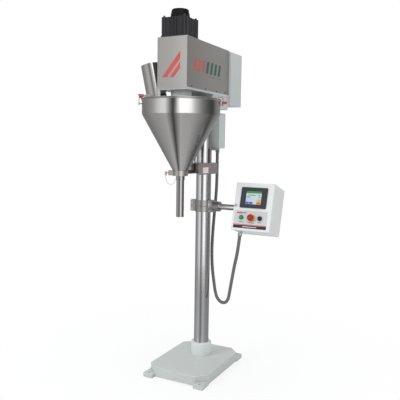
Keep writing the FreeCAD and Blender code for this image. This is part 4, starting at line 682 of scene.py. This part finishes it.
outer = bend([(RIM_RADIUS, RIM_Z), (RIM_RADIUS, CONE_TOP), (CONE_LOW_RADIUS, CONE_LOW),
              (NECK_RADIUS, CONE_LOW), (NECK_RADIUS, NECK_LOW)], [0.02, 0.003, 0.0])
inner = bend([(NECK_RADIUS - WALL, NECK_LOW), (NECK_RADIUS - WALL, CONE_LOW + WALL),
              (CONE_LOW_RADIUS - WALL, CONE_LOW + WALL),
              (RIM_RADIUS - WALL, CONE_TOP + WALL / 2), (RIM_RADIUS - WALL, RIM_Z)],
             [0.0, 0.002, 0.02])
placed(turned_piece(outer + inner, centre, 128), "hopper_shell", satin, "stand",
       ["hopper"])
BEAD = 0.0045
ring = [(RIM_RADIUS + BEAD * math.cos(a), RIM_Z + BEAD * math.sin(a))
        for a in [math.radians(step * 22.5) for step in range(16)]]
polished_rim = steel("polished_rim", (0.42, 0.42, 0.42), 0.2, (30, 30, 300), 0.4, 0.05, 0.05)
placed(turned_piece(ring, centre, 128), "hopper_rim", polished_rim, "stand")

# Keepers: two bent tabs on the hopper's side, which the latch hooks pull against.
for side, angle in (("front", -150), ("rear", 30)):
    bm = soft_box((RIM_RADIUS - 0.001, -0.017, 1.7585), (0.257, 0.017, 1.7625), 0.001, 2)
    bmesh.ops.transform(bm, verts=bm.verts, matrix=Matrix.Translation((0, SPINDLE_Y, 0))
                        @ Matrix.Rotation(math.radians(angle), 4, "Z"))
    placed(bm, f"{side}_keeper", satin, "stand")

# ---------------------------------------------------------------- lid and infeed tube
# The lid is a flat stainless disc. The 5 inch infeed tube is welded on it and leans outwards,
# and a hanger plate joins the lid to the head casting.

lid_steel = steel("lid_steel", (0.55, 0.54, 0.53), 0.3, (12, 12, 12), 0.4, 0.05, 0.01)
wear("hopper_lid", lid_steel)
LEAN = math.radians(13)
TUBE_RADIUS, TUBE_WALL, TUBE_LENGTH = 0.0635, 0.0016, 0.224
LID_TOP = 1.7895
TUBE_X = -0.172
leaning = (Matrix.Translation((TUBE_X, SPINDLE_Y, LID_TOP))
           @ Matrix.Rotation(-LEAN, 4, "Y"))
bm = turned_piece([(TUBE_RADIUS, -0.03), (TUBE_RADIUS, TUBE_LENGTH), (TUBE_RADIUS - TUBE_WALL,
                   TUBE_LENGTH), (TUBE_RADIUS - TUBE_WALL, -0.03)], (0, 0), 96)
bmesh.ops.transform(bm, matrix=leaning, verts=bm.verts)
bmesh.ops.bisect_plane(bm, geom=bm.verts[:] + bm.edges[:] + bm.faces[:], dist=1e-6,
                       plane_co=(0, 0, LID_TOP), plane_no=(0, 0, -1), clear_outer=True)
bmesh.ops.bridge_loops(bm, edges=[edge for edge in bm.edges if edge.is_boundary])
# Painted reflections: light and dark bands laid into the infeed tube's base colour round its
# leaning axis.
TUBE_PAINTED_REFLECTIONS = [(0.0, 0.3), (0.2, 0.5), (0.34, 0.35), (0.355, 1.0), (0.37, 0.15), (0.5, 0.3),
              (0.75, 0.5), (1.0, 0.3)]
tube_steel = steel("infeed_steel", (0.9, 0.89, 0.87), 0.2, (12, 12, 700), 0.3, 0.04, 0.02,
                   TUBE_PAINTED_REFLECTIONS, (TUBE_X, SPINDLE_Y, LID_TOP), (0, -LEAN, 0))
placed(bm, "infeed", tube_steel, "stand", ["infeed_tube"])

# ---------------------------------------------------------------- latches of the lid
# Two pull latches hold the lid down: a base on the lid, a lever with a dipped red grip, and a
# hook that takes the keeper on the hopper.

plated = steel("plated_latch", (0.3, 0.295, 0.285), 0.25, (80, 80, 80), 0.5, 0.1, 0.1)
red_vinyl = moulded("red_vinyl", (0.52, 0.012, 0.03), 0.3, 120.0, 0.06)
hook_wire = steel("hook_wire", (0.4, 0.39, 0.37), 0.25, (80, 80, 80), 0.3, 0.05, 0.03)


def wire(bm, points, radius, sides=12):
    """Adds a bent rod along points; its corners are mitred."""
    rings = []
    normal = Vector((0.31, 0.87, 0.41))
    for i, where in enumerate(points):
        before = (where - points[i - 1]).normalized() if i else None
        after = (points[i + 1] - where).normalized() if i + 1 < len(points) else None
        run = before or after
        tangent = ((before or after) + (after or before)).normalized()
        normal = (normal - run * normal.dot(run)).normalized()
        widen = 1 / max(0.5, tangent.dot(run))
        across = (tangent - run * tangent.dot(run))
        turned = Matrix((normal, run.cross(normal), run)).transposed().to_4x4()
        made = bmesh.ops.create_circle(bm, segments=sides, radius=radius, cap_ends=False,
                                       matrix=Matrix.Translation(where) @ turned)
        for vert in made["verts"]:
            offset = vert.co - where
            vert.co -= run * offset.dot(across) * widen
        rings.append(made["verts"])
    for near, far in zip(rings, rings[1:]):
        for i in range(sides):
            bm.faces.new((near[i - 1], near[i], far[i], far[i - 1]))
    bm.faces.new(rings[0])
    bm.faces.new(rings[-1])


LATCHES = {
    "front": (-150, [(0.242, 1.7915), (0.253, 1.7915), (0.267, 1.817), (0.228, 1.817)]),
    "rear": (30, [(0.2525, 1.7665), (0.281, 1.7665), (0.283, 1.7815), (0.2505, 1.7815)])}
for side, (angle, corners) in LATCHES.items():
    set_round = Matrix.Translation((0, SPINDLE_Y, 0)) @ Matrix.Rotation(math.radians(angle), 4, "Z")
    wear(f"{side}_latch_base", plated)
    wear(f"{side}_latch_lever", plated)
    bm = bmesh.new()
    face = bm.faces.new([bm.verts.new((r, -0.0085, z)) for r, z in corners])
    made = bmesh.ops.extrude_face_region(bm, geom=[face])
    bmesh.ops.translate(bm, vec=(0, 0.017, 0), verts=[
        part for part in made["geom"] if isinstance(part, bmesh.types.BMVert)])
    bmesh.ops.bevel(bm, geom=bm.edges[:], offset=0.003, offset_type="OFFSET", segments=4,
                    profile=0.5, affect="EDGES", material=-1)
    bmesh.ops.transform(bm, verts=bm.verts, matrix=set_round)
    placed(bm, f"{side}_grip", red_vinyl, f"{side}_lever", [f"{side}_latch_grip"])
    bm = bmesh.new()
    for y in (-0.0105, 0.0105):
        wire(bm, [Vector((0.2, y, 1.8095)), Vector((0.2585, y, 1.807)),
                  Vector((0.26, y, 1.756))], 0.0015)
    wire(bm, [Vector((0.2, -0.0115, 1.8095)), Vector((0.2, 0.0115, 1.8095))], 0.0025)
    wire(bm, [Vector((0.26, -0.0118, 1.756)), Vector((0.26, 0.0118, 1.756))], 0.0018)
    lip = soft_box((0.253, -0.0118, 1.7525), (0.2625, 0.0118, 1.7565), 0.0008, 2)
    shape = bpy.data.meshes.new("lip")
    lip.to_mesh(shape)
    lip.free()
    bm.from_mesh(shape)
    bpy.data.meshes.remove(shape)
    bmesh.ops.transform(bm, verts=bm.verts, matrix=set_round)
    placed(bm, f"{side}_wire_hook", hook_wire, f"{side}_hook",
           [f"{side}_latch_hook"])

# ---------------------------------------------------------------- nozzle, auger and agitator
# A straight filling tube under the neck, held by a turned collar. The auger turns inside it,
# and two scraper blades turn in the hopper.

# Painted reflections: light and dark bands laid into the nozzle's base colour round its axis.
NOZZLE_PAINTED_REFLECTIONS = [(0.0, 0.2), (0.2, 0.8), (0.3, 0.15), (0.38, 1.0), (0.46, 0.2), (0.7, 0.4),
                (1.0, 0.2)]
nozzle_steel = steel("nozzle_steel", (0.6, 0.59, 0.57), 0.22, (40, 40, 900), 0.25, 0.04, 0.02,
                     NOZZLE_PAINTED_REFLECTIONS, (0, SPINDLE_Y, 0))
NOZZLE_RADIUS, NOZZLE_LOW = 0.02425, 1.061
placed(turned_piece([(NOZZLE_RADIUS, NOZZLE_LOW), (NOZZLE_RADIUS, NECK_LOW),
                     (NOZZLE_RADIUS - 0.0015, NECK_LOW), (NOZZLE_RADIUS - 0.0015, NOZZLE_LOW)],
                    centre, 72), "nozzle_tube", nozzle_steel, "stand", ["nozzle"])
COLLAR_RADIUS, COLLAR_LOW = 0.0275, 1.292
placed(turned_piece(bend([(NOZZLE_RADIUS, COLLAR_LOW), (COLLAR_RADIUS, COLLAR_LOW),
                          (COLLAR_RADIUS, 1.318), (NECK_RADIUS, 1.318), (NECK_RADIUS, NECK_LOW),
                          (NOZZLE_RADIUS, NECK_LOW)], [0.001, 0.002, 0.001, 0.0]),
                    centre, 72), "collar", nozzle_steel, "stand",
       ["nozzle_collar"])
wear("auger", machined)
wear("agitator_blades", machined)

# ---------------------------------------------------------------- yoke and bracket
# A stainless yoke is clamped round the hopper's neck. Its bar is bolted under a folded
# channel, which two clamp blocks hold on the column.

sheet_steel = steel("bracket_sheet", (0.4, 0.385, 0.365), 0.38, (8, 500, 500), 0.8, 0.1, 0.08)
cast_steel = steel("yoke_steel", (0.42, 0.41, 0.39), 0.26, (30, 30, 300), 0.2, 0.04, 0.02)
eased("column_bracket", "bracket_channel", sheet_steel, "stand", 0.0008, 2)
eased("support_yoke", "yoke", cast_steel, "stand", 0.0015)
eased("bracket_clamp", "bracket_blocks", cast_steel, "stand", 0.0012)
label_white = printed("label_white", (0.78, 0.78, 0.78), 0.95)
laid_on("label_border", [[(0.061, y, z) for y, z in bar(-0.05, 0.046, 1.3235, 1.372)]],
        (1, 0, 0), red_print, "stand")
laid_on("label_face", [[(0.0611, y, z) for y, z in bar(-0.042, 0.038, 1.3285, 1.367)]],
        (1, 0, 0), label_white, "stand")
wear("bracket_bolts", zinc)

# ---------------------------------------------------------------- junction box and its stand
# A painted box, closed from behind by a lid, on a folded stainless frame above the bracket.

box_paint = painted("box_paint", (0.6, 0.635, 0.62), 0.35, 260.0, 0.12, 0.0, 0.08)
wear("junction_stand", sheet_steel)
low_corner, high_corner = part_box("junction_box")
placed(soft_box(low_corner, high_corner, 0.004), "junction_case", box_paint, "stand",
       ["junction_box"])
wear("junction_lid", box_paint)
wear("stand_gland", machined)

# ---------------------------------------------------------------- pin and lanyard
# A quick-release pin locks the yoke. It has a yellow moulded sleeve and hangs on a thin cable.

wear("quick_pin", machined)
wear("pin_sleeve", moulded("yellow_sleeve", (0.72, 0.42, 0.02), 0.4, 300.0, 0.1))

# ---------------------------------------------------------------- swinging arm
# A split stainless clamp turns on the column; its hub holds the arm tube of the control box.

clamp_steel = steel("clamp_steel", (0.33, 0.325, 0.315), 0.28, (30, 30, 300), 0.2, 0.04, 0.02)
eased("arm_clamp", "arm_hub", clamp_steel, "arm", 0.0012)
bm = turned_piece([(0.05795, 1.1026), (0.05815, 1.1026), (0.05815, 1.1054), (0.05795, 1.1054)],
                  (0, COLUMN_Y), 96)
for corner, away in (((-0.028, 0, 0), (-1, 0, 0)), ((0, COLUMN_Y, 0), (0, 1, 0))):
    bmesh.ops.bisect_plane(bm, geom=bm.verts[:] + bm.edges[:] + bm.faces[:], dist=1e-6,
                           plane_co=corner, plane_no=away, clear_outer=True)
bmesh.ops.holes_fill(bm, edges=[edge for edge in bm.edges if edge.is_boundary], sides=8)
placed(bm, "hub_split", grey_print, "arm")
wear("arm_clamp_bolts", zinc)
ARM_Z = 1.104
# Painted reflections: light and dark bands laid into the arm tube's base colour round its axis.
ARM_PAINTED_REFLECTIONS = [(0.0, 0.15), (0.15, 1.0), (0.25, 1.0), (0.35, 0.3), (0.5, 0.1), (0.75, 0.4),
             (1.0, 0.15)]
arm_steel = steel("arm_steel", (0.8, 0.79, 0.77), 0.2, (30, 30, 600), 0.15, 0.03, 0.02,
                  ARM_PAINTED_REFLECTIONS, (0, COLUMN_Y, ARM_Z), (0, math.radians(90), 0))


def lying_tube(outer_radius, inner_radius, start, end):
    """Tube along X on the arm's axis."""
    bm = turned_piece([(outer_radius, start), (outer_radius, end), (inner_radius, end),
                       (inner_radius, start)], (0, 0), 72)
    bmesh.ops.transform(bm, verts=bm.verts, matrix=Matrix.Translation((0, COLUMN_Y, ARM_Z))
                        @ Matrix.Rotation(math.radians(90), 4, "Y"))
    return bm


placed(lying_tube(0.019, 0.017, 0.066, 0.2816), "arm_pipe", arm_steel, "arm",
       ["arm_tube"])

# ---------------------------------------------------------------- control box and door
# A white painted box that leans back on the arm. Its door carries the panel and the buttons.

white_paint = painted("white_paint", (0.77, 0.785, 0.775), 0.32, 320.0, 0.08, 0.0, 0.08)
eased("control_box", "control_case", white_paint, "control", 0.003)
eased("control_door", "control_lid", white_paint, "door", 0.003)
wear("box_gland", machined)
panel_plastic = moulded("panel_plastic", (0.028, 0.032, 0.042), 0.4, 500.0, 0.08)
eased("operator_panel", "panel_case", panel_plastic, "door", 0.0015)
wear("panel_screen", moulded("screen_glass", (0.55, 0.64, 0.69), 0.15, 10.0, 0.0))
TILTED = Matrix.Translation((0.411, 0.09, 1.104)) @ Matrix.Rotation(math.radians(-16.36), 4, "X")


def on_door(name, depth, bars, finish):
    """Films on the door; bars are (left, right, bottom, top) in millimetres from its middle."""
    laid_on(name, [[(x / 1000, depth / 1000, z / 1000) for x, z in bar(*given)]
                   for given in bars], (0, -1, 0), finish, "door", TILTED)


DOOR_FACE, SCREEN_FACE = -128.0, -134.0
on_door("overlay", DOOR_FACE, [(-114.8, 105.8, -147.7, -34)],
        printed("overlay_grey", (0.6, 0.595, 0.59), 0.95))
on_door("overlay_band", DOOR_FACE - 0.2, [(-114.8, 105.8, -146.8, -127.7)],
        printed("band_black", (0.02, 0.018, 0.018)))
on_door("overlay_stripe", DOOR_FACE - 0.2, [(-114.8, 105.8, -126.5, -122), (-100, -66, -55, -45)],
        red_print)
on_door("overlay_words", DOOR_FACE - 0.2, [
    (-64, -36, -52, -46), (-80, -54, -108, -104.5), (-22, 24, -111, -107.5),
    (46, 70, -106, -103)], grey_print)
on_door("band_words", DOOR_FACE - 0.4, [(-52, 42, -139.5, -135.5)], label_white)
on_door("screen_header", SCREEN_FACE, [(-49.8, 51.8, 77, 90.1)],
        printed("screen_green", (0.05, 0.27, 0.04)))
on_door("screen_keys", SCREEN_FACE, [(-49, -28, 8.5, 22.5), (-25, -3, 8.5, 22.5)],
        printed("screen_blue", (0.06, 0.12, 0.5)))
on_door("screen_start", SCREEN_FACE, [(24, 50, 25.5, 41)],
        printed("screen_lime", (0.4, 0.58, 0.12)))
on_door("screen_stop", SCREEN_FACE, [(24, 50, 8.5, 23.5)],
        printed("screen_orange", (0.8, 0.11, 0.03)))
on_door("screen_lines", SCREEN_FACE, [(-38, 12, 63, 67), (30, 44, 63, 67), (-46, -22, 50, 54),
                                      (34, 46, 50, 54)], grey_print)
for word, x, colour in (("start", -0.067, (0.0, 0.16, 0.08)), ("stop", 0.0, (0.1, 0.1, 0.1)),
                        ("selector", 0.0575, (0.02, 0.02, 0.02))):
    bm = turned_piece(bend([(0.011, 0.128), (0.015, 0.128), (0.015, 0.133), (0.011, 0.133),
                            (0.011, 0.1281)], [0.0, 0.0015, 0.001]), (0, 0), 48)
    bmesh.ops.transform(bm, verts=bm.verts, matrix=TILTED @ Matrix.Translation((x, 0, -0.079))
                        @ Matrix.Rotation(math.radians(90), 4, "X"))
    placed(bm, f"{word}_bezel", moulded(f"{word}_bezel_plastic", colour, 0.3), "door",
           ["button_bezels"])
wear("start_button", moulded("button_green", (0.0, 0.33, 0.13), 0.3))
wear("stop_button", moulded("button_red", (0.34, 0.008, 0.014), 0.25))
ring = [(0.0153, 0.1281), (0.025, 0.1281), (0.025, 0.1335), (0.0242, 0.1345), (0.0153, 0.1345)]
bm = turned_piece(ring, (0, 0), 64)
bmesh.ops.transform(bm, verts=bm.verts, matrix=TILTED @ Matrix.Translation((0, 0, -0.079))
                    @ Matrix.Rotation(math.radians(90), 4, "X"))
placed(bm, "stop_plate", printed("plate_yellow", (0.8, 0.36, 0.03)), "door")
wear("selector_knob", moulded("button_black", (0.02, 0.02, 0.02), 0.3))
wear("door_lock", machined)

# ---------------------------------------------------------------- conduit and lanyard
# The supply runs to the control box in a corrugated conduit of 22 mm with a grey sheath, which
# hangs in a loop. The lanyard is a thin steel cable.

CONDUIT_POINTS = [
    (0.044, 0.205, 1.4635), (0.044, 0.205, 1.345), (0.046, 0.198, 1.215), (0.041, 0.187, 1.08),
    (0.036, 0.173, 0.935), (0.037, 0.158, 0.795), (0.049, 0.144, 0.675), (0.07, 0.131, 0.577),
    (0.092, 0.119, 0.487), (0.129, 0.101, 0.453), (0.178, 0.077, 0.452), (0.215, 0.057, 0.485),
    (0.234, 0.044, 0.57), (0.254, 0.03, 0.655), (0.276, 0.012, 0.74), (0.302, -0.014, 0.81),
    (0.322, -0.0364, 0.8863), (0.322, -0.0209, 0.9391)]
LANYARD_POINTS = [
    (-0.1065, -0.23, 1.318), (-0.1065, -0.23, 1.29), (-0.0925, -0.232, 1.268),
    (-0.0665, -0.233, 1.26), (-0.0425, -0.232, 1.27), (-0.0445, -0.23, 1.292),
    (-0.0275, -0.23, 1.297)]


def smooth_line(points, step):
    """Places at equal steps along the smooth line that has these control points."""
    curve = bpy.data.curves.new("route", "CURVE")
    curve.dimensions = "3D"
    line = curve.splines.new("NURBS")
    line.points.add(len(points) - 1)
    for point, where in zip(line.points, points):
        point.co = (*where, 1)
    line.order_u = 3
    line.use_endpoint_u = True
    line.resolution_u = 32
    route = bpy.data.objects.new("route", curve)
    read = bpy.data.meshes.new_from_object(route)
    fine = [vertex.co.copy() for vertex in read.vertices]
    bpy.data.objects.remove(route)
    bpy.data.meshes.remove(read)
    places = [fine[0]]
    left = step
    for a, b in zip(fine, fine[1:]):
        span = (b - a).length
        gone = 0.0
        while span - gone >= left:
            gone += left
            places.append(a.lerp(b, gone / span))
            left = step
        left -= span - gone
    return places + [fine[-1]]


def cord_tube(places, radii, sides=14):
    """Closed tube along places; its radius goes through radii again and again."""
    bm = bmesh.new()
    normal = Vector((1, 0, 0.01))
    rings = []
    for i, where in enumerate(places):
        along_line = (places[min(i + 1, len(places) - 1)] - places[max(i - 1, 0)]).normalized()
        normal = (normal - along_line * normal.dot(along_line)).normalized()
        turned = Matrix((normal, along_line.cross(normal), along_line)).transposed().to_4x4()
        made = bmesh.ops.create_circle(bm, segments=sides, radius=radii[i % len(radii)],
                                       cap_ends=False,
                                       matrix=Matrix.Translation(where) @ turned)
        rings.append(made["verts"])
    for near, far in zip(rings, rings[1:]):
        for i in range(sides):
            bm.faces.new((near[i - 1], near[i], far[i], far[i - 1]))
    bm.faces.new(rings[0])
    bm.faces.new(rings[-1])
    return bm


sheath = moulded("conduit_sheath", (0.15, 0.148, 0.143), 0.42, 400.0, 0.05)
conduit_line = smooth_line(CONDUIT_POINTS, 0.0016)
lowest = min(range(len(conduit_line)), key=lambda i: conduit_line[i].z)
RIPPLE = (0.0103, 0.0108, 0.011, 0.0108)
upper_line, lower_line = conduit_line[:lowest + 1], conduit_line[lowest:]
for name, places, a, b, start, end in (
        ("conduit_supply", upper_line, "stand", "arm", (0.046, 0.198, 1.3), (0.07, 0.131, 0.577)),
        ("conduit_control", lower_line, "arm", "control", (0.234, 0.044, 0.57),
         (0.322, -0.028, 0.915))):
    bm = cord_tube(places, RIPPLE)
    bmesh.ops.recalc_face_normals(bm, faces=bm.faces)
    mesh = bpy.data.meshes.new(name)
    bm.to_mesh(mesh)
    bm.free()
    mesh.materials.append(sheath)
    mesh.shade_smooth()
    conduit = bpy.data.objects.new(name, mesh)
    bpy.context.collection.objects.link(conduit)
    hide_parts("conduit")
    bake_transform(conduit)

lanyard_line = smooth_line(LANYARD_POINTS, 0.002)
lanyard = placed(cord_tube(lanyard_line, (0.0009,), 8), "pin_lanyard",
                 moulded("cable_sheath", (0.03, 0.025, 0.012), 0.5), "stand",
                 ["lanyard"])
